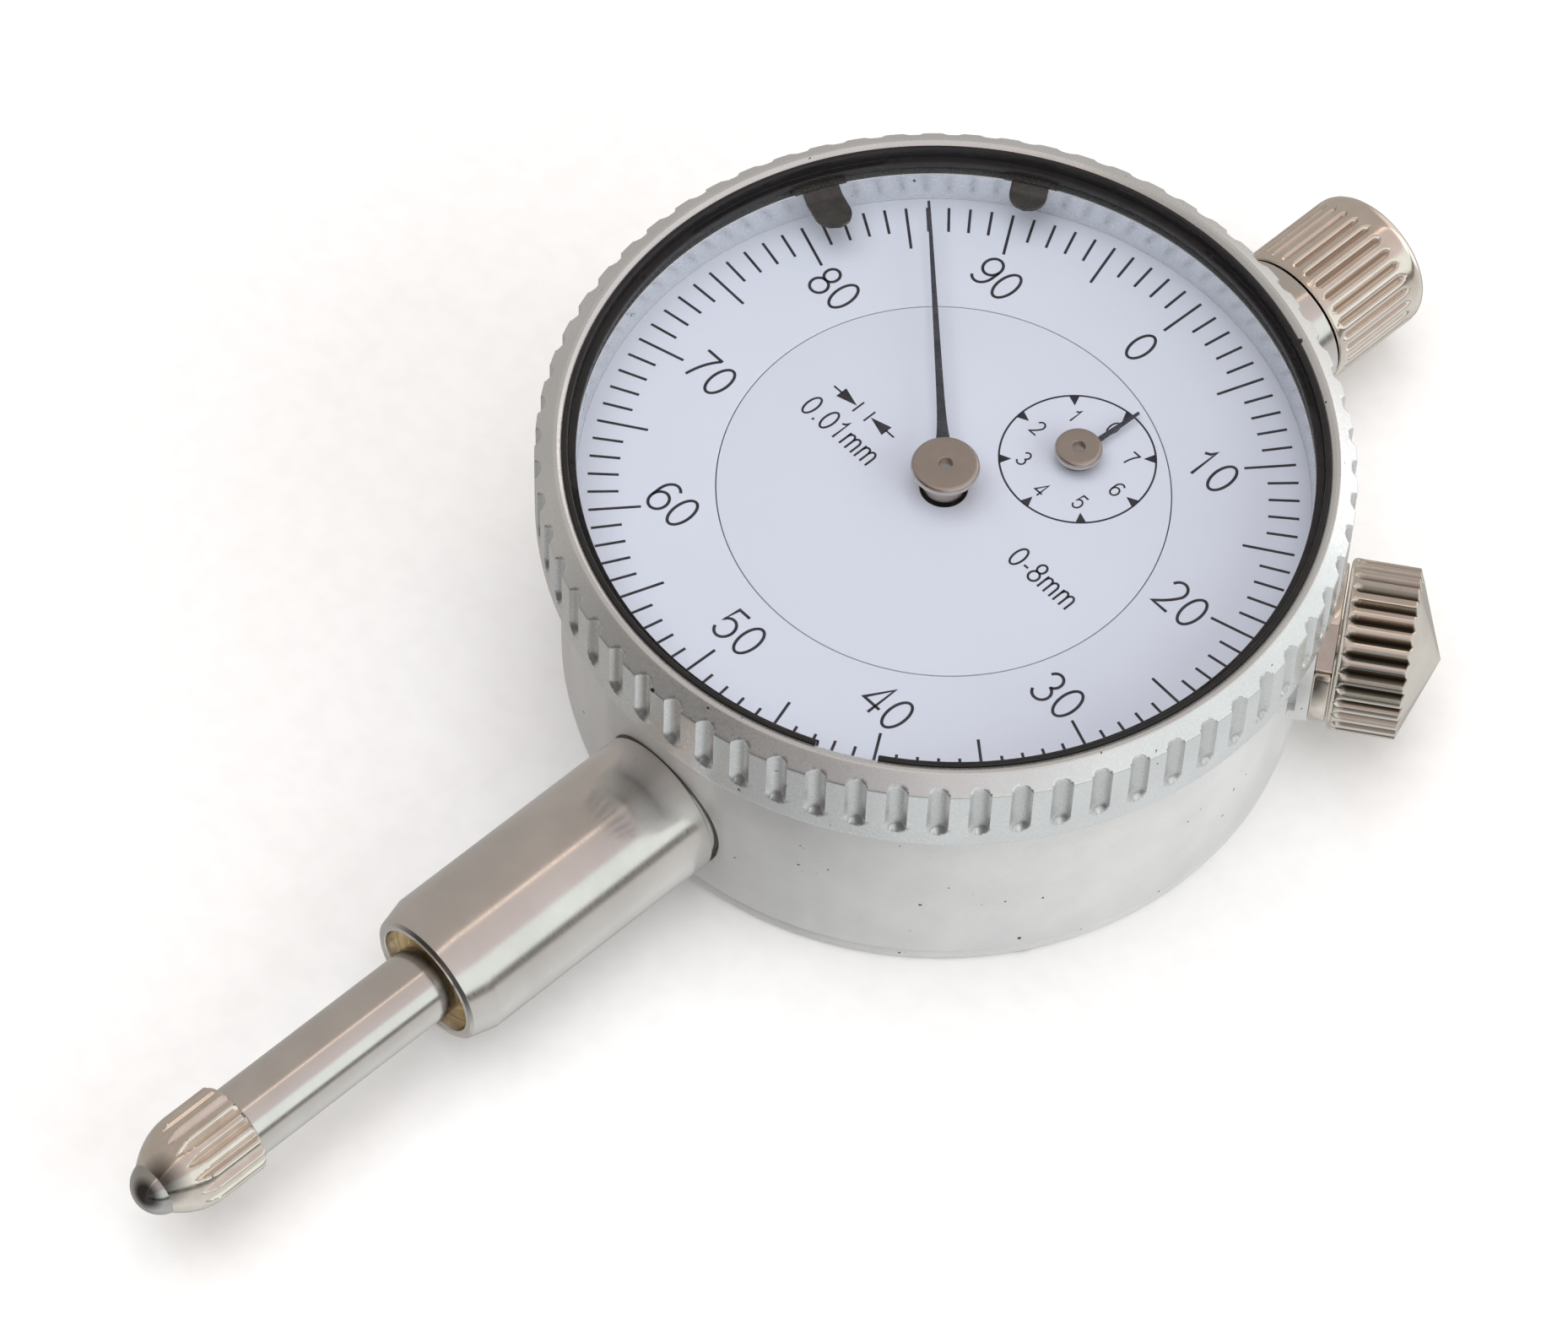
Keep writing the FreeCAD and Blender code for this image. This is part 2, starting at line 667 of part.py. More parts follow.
def clamp_shoe():
    """A nut inside the case wall; its top edge pulls outwards on the bezel's skirt."""
    block = box(
        size.shoe_half * 2, size.shoe_outer - size.shoe_inner, size.shoe_top - size.shoe_low,
        radial(size.shoe_inner, -size.shoe_half, size.shoe_low), CLAMP_TURN,
    )
    start = size.shoe_inner - CUT_MARGIN
    reach = size.shoe_outer - start + CUT_MARGIN
    thread = cylinder(size.clamp_shank + size.shoe_thread_play, reach, radial(start), CLAMP_TURN * Y_TURN)
    publish(cut(block, [thread], "ClampShoe"), "clamp_shoe")


# Spindle -------------------------------------------------------------------


def rack_gap_outline(module, line):
    """One gap between rack teeth: half widths at mouth and floor, then depth limits."""
    half = module * 0.9
    slope = math.tan(math.radians(20))
    mouth = half + module * slope * 2.2
    floor = half - module * slope * 1.25
    inner = line - module * 1.25
    outer = line + module * 2.2
    return mouth, floor, inner, outer


def spindle():
    """A plain ground rod with a rack cut in a flat on its -X side."""
    body = turned("Spindle", [
        (0.0, -size.spindle_low),
        (size.spindle_radius - size.spindle_edge, -size.spindle_low),
        (size.spindle_radius, -(size.spindle_low - size.spindle_edge)),
        (size.spindle_radius, size.spindle_top - size.spindle_top_edge),
        (size.spindle_radius - size.spindle_top_edge, size.spindle_top),
        (0.0, size.spindle_top),
    ], "Y")
    pitch = size.rack_module * math.pi
    half_length = pitch * (size.rack_teeth - 1) / 2 + size.rack_run_out
    middle = size.drive_y - pitch * (size.rack_teeth - 5) / 2
    tip = size.rack_line + size.rack_module
    far = size.spindle_radius + 0.5
    pocketed(body, [
        (-far, middle - half_length),
        (-tip, middle - half_length),
        (-tip, middle + half_length),
        (-far, middle + half_length),
    ])
    last = size.drive_y + pitch * 2
    mouth, floor, inner, outer = rack_gap_outline(size.rack_module, size.rack_line)
    gap = pocketed(body, [
        (-outer, last - mouth),
        (-inner, last - floor),
        (-inner, last + floor),
        (-outer, last + mouth),
    ])
    before = volume_of(body)
    pattern = body.newObject("PartDesign::LinearPattern", "Rack")
    pattern.Originals = [gap]
    pattern.Direction = (plane_of(body, "Y_Axis"), [""])
    pattern.Reversed = True
    pattern.Occurrences = int(float(size.rack_teeth))
    bind(pattern, Length=pitch * (size.rack_teeth - 1), Occurrences=size.rack_teeth)
    body.Tip = pattern
    check_cut(body, before)
    on_line(body)
    thread_start = (0.0, -size.spindle_low, size.line_height)
    pin_start = (guide_pin_start(), 0.0, size.line_height)
    tools = [
        cylinder(size.point_thread, size.point_thread_length + 0.5, thread_start, Y_TURN),
        cylinder(size.guide_pin_radius, size.spindle_radius * 2, pin_start, X_TURN),
    ]
    publish(cut(body, tools, "SpindleDrilled"), "spindle")


def contact_point():
    """The screwed-in contact point: fluted body, tapering nose, threaded shank."""
    neck = size.spindle_low + size.point_shoulder
    body = turned("ContactPoint", [
        (0.0, -(size.spindle_low - size.point_thread_length)),
        (0.0, -size.point_end),
        (size.point_end_radius, -size.point_end, size.point_end_arc),
        (size.point_ogive_radius, -size.point_ogive, size.point_ogive_arc),
        (size.point_radius, -size.point_body),
        (size.point_radius, -(neck + size.point_edge)),
        (size.point_neck, -neck),
        (size.point_neck, -size.spindle_low),
        (size.point_thread, -size.spindle_low),
        (size.point_thread, -(size.spindle_low - size.point_thread_length)),
    ], "Y")
    knurl_end = -(size.point_ogive + size.point_knurl_run)
    knurl(body, size.point_radius, knurl_end, -(neck + size.point_knurl_gap), size.flute_teeth,
          size.flute_depth, size.flute_width)
    on_line(body)
    seat = doc.addObject("Part::Sphere", "BallSeat")
    bind(seat, Radius=size.ball_radius)
    place(seat, (0.0, -size.ball_height, size.line_height))
    publish(cut(body, [seat], "ContactPointSeated"), "contact_point")


def contact_ball():
    ball = doc.addObject("Part::Sphere", "ContactBall")
    bind(ball, Radius=size.ball_radius)
    place(ball, (0.0, -size.ball_height, size.line_height))
    publish(ball, "contact_ball")


def guide_pin_start():
    """The blind end of the guide pin's hole, just short of the spindle's far side."""
    return -size.spindle_radius + 0.2


def guide_pin():
    """A cross pin in the spindle; it runs in the guide rail, and the return spring pulls on it."""
    start = guide_pin_start()
    length = size.guide_pin_reach - start
    rod = cylinder(size.guide_pin_radius, length, (start, 0.0, size.line_height), X_TURN, "GuidePin")
    publish(rod, "guide_pin")


def guide_pin_roller():
    start = (size.guide_roller_start, 0.0, size.line_height)
    outer = cylinder(size.guide_roller_radius, size.guide_roller_thick, start, X_TURN)
    bore = cylinder(size.guide_pin_radius, size.guide_roller_thick, start, X_TURN)
    publish(cut(outer, [bore], "GuideRoller"), "guide_pin_roller")


# Movement plates -----------------------------------------------------------


def drive_spot():
    """The rack pinion's axis."""
    return (-(size.rack_line + size.rack_module * size.rack_pinion_teeth / 2), size.drive_y)


def counter_spot():
    return (size.counter_x, size.counter_y)


def rear_plate():
    """Carries the centre and counter arbors' rear pivots, in front of the spindle."""
    body = padded("RearPlate", size.rear_low, size.plate_thick, circles=[(0.0, 0.0, size.rear_radius)])
    holes = [(0.0, 0.0, size.bush_radius), (*counter_spot(), size.bush_radius)]
    holes += [(*drive_spot(), size.pinion_clearance)]
    holes += [(x, y, size.movement_screw_shank) for x, y in pillar_spots() + rear_screw_spots()]
    pocketed(body, circles=holes)
    publish(body, "rear_plate")


def front_plate():
    """Carries the front pivots and the dial's feet, and is screwed to the case's web."""
    body = padded("FrontPlate", size.front_low, size.front_thick, circles=[(0.0, 0.0, size.front_radius)])
    holes = [(x, y, size.bush_radius) for x, y in [(0.0, 0.0), counter_spot(), drive_spot()]]
    holes += [(x, y, size.movement_screw_shank) for x, y in web_screw_spots()]
    pocketed(body, circles=holes)
    publish(body, "front_plate")


def plate_pillars():
    pillars = []
    low = size.rear_low + size.plate_thick
    for x, y in pillar_spots():
        pillar = cylinder(size.pillar_radius, size.front_low - low, (x, y, low))
        hole = cylinder(size.movement_screw_shank, size.pillar_tap, (x, y, low))
        pillars.append(cut(pillar, [hole], "Pillar"))
    publish(compound(pillars, "PlatePillars"), "plate_pillars")


def plate_screws():
    length = size.plate_thick + size.plate_screw_entry
    screws = []
    for x, y in pillar_spots():
        screws.append(slotted_screw(
            size.movement_screw_head, size.movement_screw_shank, size.head_thick, length,
            x, y, size.rear_low - size.head_thick, "PlateScrew",
        ))
    publish(compound(screws, "PlateScrews"), "plate_screws")


def front_plate_screws():
    length = size.front_thick + size.front_screw_entry
    screws = []
    for x, y in web_screw_spots():
        screws.append(slotted_screw(
            size.movement_screw_head, size.movement_screw_shank, size.head_thick, length,
            x, y, size.front_low - size.head_thick, "FrontPlateScrew",
        ))
    publish(compound(screws, "FrontPlateScrews"), "front_plate_screws")


COCK_LEFT = -10.6
COCK_FOOT_RIGHT = -6.6
COCK_RIGHT = -1.5
COCK_LOW_Y = -10.0
COCK_HIGH_Y = -3.2
RAIL_LEFT = 3.1
RAIL_RIGHT = 4.6
RAIL_LOW_Y = -3.2
RAIL_HIGH_Y = 12.2


def rear_screw_spots():
    """Screws that hold the pinion cock and the guide rail to the rear plate."""
    cock_x = (COCK_LEFT + COCK_FOOT_RIGHT) / 2
    rail_x = (RAIL_LEFT + RAIL_RIGHT) / 2
    cock_spots = [(cock_x, COCK_LOW_Y + 1.5), (cock_x, COCK_HIGH_Y - 1.5)]
    rail_spots = [(rail_x, RAIL_LOW_Y + 1.0), (rail_x, RAIL_HIGH_Y - 1.0)]
    return cock_spots + rail_spots


def pinion_cock():
    """A bridge behind the spindle that carries the rack pinion's rear pivot."""
    drive_x, drive_y = drive_spot()
    depth = COCK_HIGH_Y - COCK_LOW_Y
    height = size.rear_low - size.cock_low
    corner = (COCK_LEFT, COCK_LOW_Y, size.cock_low)
    bridge = box(COCK_RIGHT - COCK_LEFT, depth, size.plate_thick, corner)
    foot = box(COCK_FOOT_RIGHT - COCK_LEFT, depth, height, corner)
    tools = [cylinder(size.bush_radius, size.plate_thick, (drive_x, drive_y, size.cock_low))]
    for x, y in rear_screw_spots()[:2]:
        tools.append(cylinder(size.movement_screw_shank, height, (x, y, size.cock_low)))
    publish(cut(fused([bridge, foot]), tools, "PinionCock"), "pinion_cock")


def cock_screws():
    head_thick = size.cock_screw_head_thick
    length = size.rear_low - size.cock_low + size.screw_entry
    screws = []
    for x, y in rear_screw_spots()[:2]:
        screws.append(slotted_screw(
            size.movement_screw_head, size.movement_screw_shank, head_thick, length,
            x, y, size.cock_low - head_thick, "CockScrew",
        ))
    publish(compound(screws, "CockScrews"), "cock_screws")


def guide_rail():
    """A slotted rail that keeps the spindle from turning; its slot's ends stop the travel."""
    low = size.line_height - size.rail_drop
    width = RAIL_RIGHT - RAIL_LEFT
    height = size.rear_low - low
    blank = box(width, RAIL_HIGH_Y - RAIL_LOW_Y, height, (RAIL_LEFT, RAIL_LOW_Y, low))
    clear = size.guide_roller_radius + 0.05
    slot_start = (RAIL_LEFT, -clear, size.line_height - clear)
    tools = [box(width, size.travel + clear * 2, clear * 2, slot_start)]
    for x, y in rear_screw_spots()[2:]:
        tools.append(cylinder(size.rail_screw_shank, height, (x, y, low)))
    publish(cut(blank, tools, "GuideRail"), "guide_rail")


def guide_rail_screws():
    low = size.line_height - size.rail_drop
    head_thick = size.rail_screw_head_thick
    length = size.rear_low - low + size.screw_entry
    screws = []
    for x, y in rear_screw_spots()[2:]:
        screws.append(slotted_screw(
            size.rail_screw_head, size.rail_screw_shank, head_thick, length,
            x, y, low - head_thick, "RailScrew",
        ))
    publish(compound(screws, "GuideRailScrews"), "guide_rail_screws")


def pivot_bush(x, y, low, thick, bore):
    ring = cylinder(size.bush_radius, thick, (x, y, low))
    hole = cylinder(bore, thick, (x, y, low))
    return cut(ring, [hole], "PivotBush")


def pivot_bushes():
    """Brass bushes pressed into the plates and the cock."""
    pivot = size.pivot_radius + size.pivot_gap
    drive_x, drive_y = drive_spot()
    counter_x, counter_y = counter_spot()
    front = size.front_low
    thick = size.front_thick
    publish(compound([
        pivot_bush(drive_x, drive_y, size.cock_low, size.plate_thick, pivot),
        pivot_bush(drive_x, drive_y, front, thick, pivot),
        pivot_bush(0.0, 0.0, size.rear_low, size.plate_thick, pivot),
        pivot_bush(0.0, 0.0, front, thick, size.arbor_radius + size.pivot_gap),
        pivot_bush(counter_x, counter_y, size.rear_low, size.plate_thick, pivot),
        pivot_bush(counter_x, counter_y, front, thick, size.counter_arbor_radius + size.pivot_gap),
    ], "PivotBushes"), "pivot_bushes")


# Springs -------------------------------------------------------------------

SPRING_X = 6.0
SPRING_POST_Y = -12.3
SPRING_POST_RADIUS = 0.6
SPRING_POST_DROP = 1.1
SPRING_HEAD_RADIUS = 1.0
SPRING_HEAD_THICK = 0.4


def spring_post():
    """The fixed end of the return spring, riveted to the rear plate."""
    low = size.line_height - SPRING_POST_DROP
    post = cylinder(SPRING_POST_RADIUS, size.rear_low - low, (SPRING_X, SPRING_POST_Y, low))
    head_low = (SPRING_X, SPRING_POST_Y, low - SPRING_HEAD_THICK)
    head = cylinder(SPRING_HEAD_RADIUS, SPRING_HEAD_THICK, head_low)
    publish(fused([post, head], "SpringPost"), "spring_post")


def spring_loop(y, rotation):
    loop = doc.addObject("Part::Torus", "SpringLoop")
    loop.Radius1 = RETURN_LOOP
    loop.Radius2 = RETURN_WIRE
    return place(loop, (SPRING_X, y, size.line_height), rotation)


def return_spring():
    """A tension coil from the post to the guide pin, with a closed loop at each end."""
    start = SPRING_POST_Y + RETURN_LOOP
    length = -start - RETURN_LOOP
    helix = doc.addObject("Part::Helix", "ReturnHelix")
    helix.Radius = RETURN_COIL
    helix.Pitch = RETURN_PITCH
    helix.Height = length
    place(helix, (SPRING_X, start, size.line_height), Y_TURN)
    section = doc.addObject("Part::Circle", "ReturnWire")
    section.Radius = RETURN_WIRE
    place(section, (SPRING_X + RETURN_COIL, start, size.line_height))
    coil = doc.addObject("Part::Sweep", "ReturnCoil")
    coil.Sections = [section]
    coil.Spine = (helix, [])
    coil.Solid = True
    coil.Frenet = True
    loops = [spring_loop(SPRING_POST_Y, Rotation()), spring_loop(0.0, X_TURN)]
    publish(fused([coil] + loops, "ReturnSpring"), "return_spring")


def half_ring_edges(inner, outer, turns):
    """Edges of a flat spiral strip made of half circles whose centres alternate."""
    step = float(size.hairspring_pitch) / 2
    inner_edges = []
    outer_edges = []
    for index in range(turns * 2):
        side = 1 if index % 2 == 0 else -1
        shift = 0.0 if index % 2 == 0 else step
        for radius, edges in ((inner + index * step, inner_edges), (outer + index * step, outer_edges)):
            start = Vector(shift + side * radius, 0, 0)
            middle = Vector(shift, side * radius, 0)
            end = Vector(shift - side * radius, 0, 0)
            edges.append(Part.Arc(start, middle, end).toShape())
    return inner_edges, outer_edges


def hairspring():
    """A flat spiral that takes up the train's backlash; its strip is drawn as joined half circles."""
    inner = float(size.collet_radius) + HAIRSPRING_GAP
    outer = inner + float(size.hairspring_thick)
    inner_edges, outer_edges = half_ring_edges(inner, outer, HAIRSPRING_TURNS)
    first = Part.makeLine(inner_edges[0].Vertexes[0].Point, outer_edges[0].Vertexes[0].Point)
    last = Part.makeLine(inner_edges[-1].Vertexes[-1].Point, outer_edges[-1].Vertexes[-1].Point)
    wire = Part.Wire(Part.__sortEdges__([first, last] + inner_edges + outer_edges))
    strip = Part.Face(wire).extrude(Vector(0, 0, float(size.collet_thick) * 0.8))
    piece = doc.addObject("Part::Feature", "Hairspring")
    piece.Shape = strip
    place(piece, (*counter_spot(), size.collet_low + size.collet_thick * 0.1))
    publish(piece, "hairspring")


def hairspring_end():
    """How far the hairspring's outer end stands from its arbor, along +X."""
    return size.collet_radius + HAIRSPRING_GAP + size.hairspring_pitch * HAIRSPRING_TURNS


def hairspring_stud():
    """A stud in the front plate that holds the hairspring's outer end."""
    x = size.counter_x + hairspring_end()
    low = size.collet_low
    y = size.counter_y + size.stud_radius + size.stud_gap
    stud = cylinder(size.stud_radius, size.front_low - low, (x, y, low))
    publish(stud, "hairspring_stud")


# Gear train ----------------------------------------------------------------


# Tooth shape, in modules, with straight flanks. TOOTH_SHARE is how much of a pitch the tooth fills.
ADDENDUM = 0.95
WHEEL_DEDENDUM = 1.3
PINION_DEDENDUM = 1.2
TOOTH_SHARE = 0.42
FLANK_ANGLE = 20
LEAF_SHARE = 0.4


def tooth_gap(module, teeth, dedendum):
    """One gap of a spur wheel, centred on +X: half widths at its mouth and its floor."""
    pitch_radius = module * teeth / 2
    half = module * (math.pi / 2 * (1 - TOOTH_SHARE))
    slope = math.tan(math.radians(FLANK_ANGLE))
    beyond = ADDENDUM + 0.6
    outer = pitch_radius + module * beyond
    inner = pitch_radius - module * dedendum
    mouth = half + module * beyond * slope
    floor = half - module * dedendum * slope
    return [(outer, -mouth), (outer, mouth), (inner, floor), (inner, -floor)]


def toothed(body, low, thick, gap, teeth):
    """Cut one gap in a body turned about Z and repeat it round."""
    cut_feature = pocketed(body, gap, low=low, length=thick)
    repeat_round(body, cut_feature, "Z_Axis", teeth)


def wheel(name, label, bore, spot, turn):
    """An 80-tooth brass wheel with four crossings."""
    tip = size.gear_module * (size.gear_teeth / 2 + ADDENDUM)
    body = padded(name, size.gear_low, size.gear_thick, circles=[(0.0, 0.0, tip), (0.0, 0.0, bore)])
    gap = tooth_gap(size.gear_module, size.gear_teeth, WHEEL_DEDENDUM)
    toothed(body, size.gear_low, size.gear_thick, gap, size.gear_teeth)
    opening = [(size.crossing_circle, 0.0, size.crossing_radius)]
    crossing = pocketed(body, circles=opening, low=size.gear_low, length=size.gear_thick)
    repeat_round(body, crossing, "Z_Axis", 4)
    place(body, (*spot, 0.0), Rotation(Vector(0, 0, 1), turn))
    publish(body, label)


def angle_to(x, y):
    return math.degrees(math.atan2(float(y), float(x)))


def centre_turn():
    """The centre pinion shows a gap to the transfer gear."""
    return angle_to(*drive_spot())


def transfer_turn():
    """The transfer gear points a tooth at the centre pinion."""
    half_tooth = 180.0 / float(size.gear_teeth)
    return centre_turn() + 180.0 + half_tooth


def takeup_turn():
    """The take-up gear's phase follows from where the centre pinion's gaps stand."""
    line = angle_to(*counter_spot())
    pitch = 360.0 / float(size.pinion_teeth)
    ahead = (centre_turn() - line) % pitch
    ratio = float(size.pinion_teeth) / float(size.gear_teeth)
    half_tooth = 180.0 / float(size.gear_teeth)
    return line + 180.0 + half_tooth - ahead * ratio


def rack_pinion_arbor():
    """The arbor that the rack turns: pivots, a 16-leaf pinion and a seat for the transfer gear."""
    tip = size.rack_module * (size.rack_pinion_teeth / 2 + ADDENDUM)
    pinion_low = size.line_height - size.pinion_half
    pinion_high = size.line_height + size.pinion_half
    shoulder = size.cock_low + size.plate_thick + size.pivot_shake
    body = turned("RackPinionArbor", [
        (0.0, size.cock_low + size.pivot_inset),
        (size.pivot_radius, size.cock_low + size.pivot_inset),
        (size.pivot_radius, shoulder),
        (size.arbor_radius, shoulder),
        (size.arbor_radius, pinion_low),
        (tip, pinion_low),
        (tip, pinion_high),
        (size.arbor_radius, pinion_high),
        (size.arbor_radius, size.front_low - size.pivot_inset),
        (size.pivot_radius, size.front_low - size.pivot_inset),
        (size.pivot_radius, size.front_low + size.front_pivot),
        (0.0, size.front_low + size.front_pivot),
    ])
    gap = tooth_gap(size.rack_module, size.rack_pinion_teeth, PINION_DEDENDUM)
    toothed(body, pinion_low, pinion_high - pinion_low, gap, size.rack_pinion_teeth)
    half_tooth = 180.0 / float(size.rack_pinion_teeth)
    place(body, (*drive_spot(), 0.0), Rotation(Vector(0, 0, 1), half_tooth))
    publish(body, "rack_pinion_arbor")


def centre_arbor():
    """The centre arbor, with its ten-leaf pinion cut in one with it."""
    tip = size.gear_module * (size.pinion_teeth / 2 + 0.8)
    shoulder = size.rear_low + size.plate_thick + size.pivot_shake
    pinion_high = size.gear_low + size.gear_thick + size.pinion_overhang
    hole_low = size.hub_neck_low - size.arbor_step
    end = size.cap_hub_top - size.arbor_recess
    body = turned("CentreArbor", [
        (0.0, size.rear_low + size.pivot_inset),
        (size.pivot_radius, size.rear_low + size.pivot_inset),
        (size.pivot_radius, shoulder),
        (tip, shoulder),
        (tip, pinion_high),
        (size.arbor_radius, pinion_high),
        (size.arbor_radius, hole_low - size.arbor_step),
        (size.hub_hole, hole_low),
        (size.hub_hole, end),
        (0.0, end),
    ])
    inner = size.gear_module * (size.pinion_teeth / 2 - 1.45)
    outer = tip + 0.1
    spread = math.tan(math.radians(180.0 * (1 - LEAF_SHARE) / float(size.pinion_teeth)))
    gap = [
        (outer, -outer * spread),
        (outer, outer * spread),
        (inner, inner * spread),
        (inner, -inner * spread),
    ]
    toothed(body, shoulder, pinion_high - shoulder, gap, size.pinion_teeth)
    place(body, (0.0, 0.0, 0.0), Rotation(Vector(0, 0, 1), centre_turn()))
    publish(body, "centre_arbor")


def counter_arbor():
    """The arbor of the take-up gear, which also turns the small hand."""
    shoulder = size.rear_low + size.plate_thick + size.pivot_shake
    nose = size.hub_hole - size.hub_play
    end = size.small_hub_top - size.small_arbor_recess
    body = turned("CounterArbor", [
        (0.0, size.rear_low + size.pivot_inset),
        (size.pivot_radius, size.rear_low + size.pivot_inset),
        (size.pivot_radius, shoulder),
        (size.counter_arbor_radius, shoulder),
        (size.counter_arbor_radius, size.small_neck_low - size.arbor_step),
        (nose, size.small_neck_low - size.arbor_step / 2),
        (nose, end),
        (0.0, end),
    ])
    publish(place(body, (*counter_spot(), 0.0)), "counter_arbor")


def hairspring_collet():
    ring = cylinder(size.collet_radius, size.collet_thick, (*counter_spot(), size.collet_low))
    bore = cylinder(size.counter_arbor_radius, size.collet_thick, (*counter_spot(), size.collet_low))
    publish(cut(ring, [bore], "HairspringCollet"), "hairspring_collet")


# Hands ---------------------------------------------------------------------


def hand_turn(clockwise):
    """Turn from +Y, clockwise as seen from the front."""
    return Rotation(Vector(0, 0, 1), -float(clockwise))


def main_hand():
    """A slender tapering pointer on a small round boss."""
    pointer = padded("MainPointer", size.hand_low, size.hand_thick, [
        (-size.hand_root * 2, size.hand_boss * 0.6),
        (size.hand_root * 2, size.hand_boss * 0.6),
        (size.hand_root, size.hand_boss * 2.1),
        (size.hand_end, size.hand_tip),
        (-size.hand_end, size.hand_tip),
        (-size.hand_root, size.hand_boss * 2.1),
    ])
    boss = cylinder(size.hand_boss, size.hand_thick, (0.0, 0.0, size.hand_low))
    hole = cylinder(size.hub_neck * 0.6, size.hand_thick, (0.0, 0.0, size.hand_low))
    hand = cut(fused([pointer, boss]), [hole], "MainHand")
    publish(place(hand, (0.0, 0.0, 0.0), hand_turn(size.main_turn)), "main_hand")


def main_hand_hub():
    """The turned hub: a round cap over the hand, and a neck down towards the dial."""
    low = size.cap_hub_top - size.cap_hub_thick
    seat = size.hub_neck * 0.6
    body = turned("MainHandHub", [
        (size.hub_hole, size.hub_neck_low),
        (size.hub_neck, size.hub_neck_low),
        (size.hub_neck, size.hand_low),
        (seat, size.hand_low),
        (seat, size.hand_low + size.hand_thick),
        (size.cap_hub_radius - 0.35, size.hand_low + size.hand_thick, 0.5),
        (size.cap_hub_radius, low + 0.3),
        (size.cap_hub_radius, size.cap_hub_top - 0.1),
        (size.cap_hub_radius - 0.1, size.cap_hub_top),
        (size.hub_hole, size.cap_hub_top),
    ])
    publish(body, "main_hand_hub")


def small_hand():
    """A short tapering pointer for whole millimetres."""
    root = size.small_hand_root
    end = size.small_hand_end
    pointer = padded("SmallPointer", size.small_hand_low, size.small_hand_thick, [
        (-root, size.small_neck),
        (root, size.small_neck),
        (end, size.small_hand_tip),
        (-end, size.small_hand_tip),
    ])
    boss = cylinder(size.small_boss, size.small_hand_thick, (0.0, 0.0, size.small_hand_low))
    hole = cylinder(size.small_neck * 0.8, size.small_hand_thick, (0.0, 0.0, size.small_hand_low))
    hand = cut(fused([pointer, boss]), [hole], "SmallHand")
    publish(place(hand, (*counter_spot(), 0.0), hand_turn(size.small_turn)), "small_hand")


def small_hand_hub():
    seat = size.small_neck * 0.8
    hole = size.hub_hole - size.hub_play
    body = turned("SmallHandHub", [
        (hole, size.small_neck_low),
        (size.small_neck, size.small_neck_low),
        (size.small_neck, size.small_hand_low),
        (seat, size.small_hand_low),
        (seat, size.small_hand_low + size.small_hand_thick),
        (size.small_hub_radius - 0.12, size.small_hand_low + size.small_hand_thick),
        (size.small_hub_radius, size.small_hand_low + size.small_hand_thick + 0.12),
        (size.small_hub_radius, size.small_hub_top - 0.08),
        (size.small_hub_radius - 0.08, size.small_hub_top),
        (hole, size.small_hub_top),
    ])
    publish(place(body, (*counter_spot(), 0.0)), "small_hand_hub")


# Dial ----------------------------------------------------------------------


def dial_centre_disc():
    """The fixed middle of the dial, which carries the small scale."""
    low = size.dial_height - size.dial_thick
    body = padded("DialCentreDisc", low, size.dial_thick, circles=[(0.0, 0.0, size.disc_radius)])
    pocketed(body, circles=[(0.0, 0.0, size.disc_centre_hole), (*counter_spot(), size.disc_counter_hole)])
    publish(body, "dial_centre_disc")


def dial_feet():
    low = size.front_low + size.front_thick
    high = size.dial_height - size.dial_thick
    feet = [cylinder(size.dial_foot_radius, high - low, (x, y, low))
            for x, y in round_spots(size.dial_feet_circle, 20.0, 3)]
    publish(compound(feet, "DialFeet"), "dial_feet")


def scale_ring():
    """The outer scale: a flat ring held in the bezel, so that its zero can be set."""
    low = size.dial_height - size.dial_thick
    body = padded("ScaleRing", low, size.dial_thick, circles=[
        (0.0, 0.0, size.ring_outer), (0.0, 0.0, size.ring_inner),
    ])
    publish(body, "scale_ring")


# Bezel ---------------------------------------------------------------------


def bezel_flute(body):
    """One round-bottomed vertical flute, half a pitch from +X; it runs out in the rim's chamfer."""
    half_pitch = 180.0 / size.flute_count
    x = size.bezel_flute_centre * cosine(half_pitch)
    y = size.bezel_flute_centre * sine(half_pitch)
    height = size.rim_height - size.bezel_flute_low + 0.2
    return pocketed(body, circles=[(x, y, size.bezel_flute_round)], low=size.bezel_flute_low, length=height)


def bezel_ring():
    """The fluted rim that turns on the case's spigot."""
    shelf = size.dial_height - size.dial_thick
    body = turned("BezelRing", [
        (size.bezel_bore, size.bezel_low),
        (size.bezel_radius - size.bezel_edge, size.bezel_low),
        (size.bezel_radius, size.bezel_low + size.bezel_edge),
        (size.bezel_radius, size.rim_low),
        (size.rim_radius, size.rim_height),
        (size.seat_radius, size.rim_height),
        (size.seat_radius, size.seat_height),
        (size.bezel_wall, size.seat_height),
        (size.bezel_wall, shelf),
        (size.bezel_bore, shelf),
        (size.bezel_bore, size.groove_high + 0.03),
        (size.groove_roof, size.groove_high + 0.03),
        (size.groove_roof, size.groove_low - 0.02),
        (size.bezel_bore, size.groove_low - 0.02),
    ])
    flute = bezel_flute(body)
    repeat_round(body, flute, "Z_Axis", size.flute_count)
    publish(body, "bezel_ring")


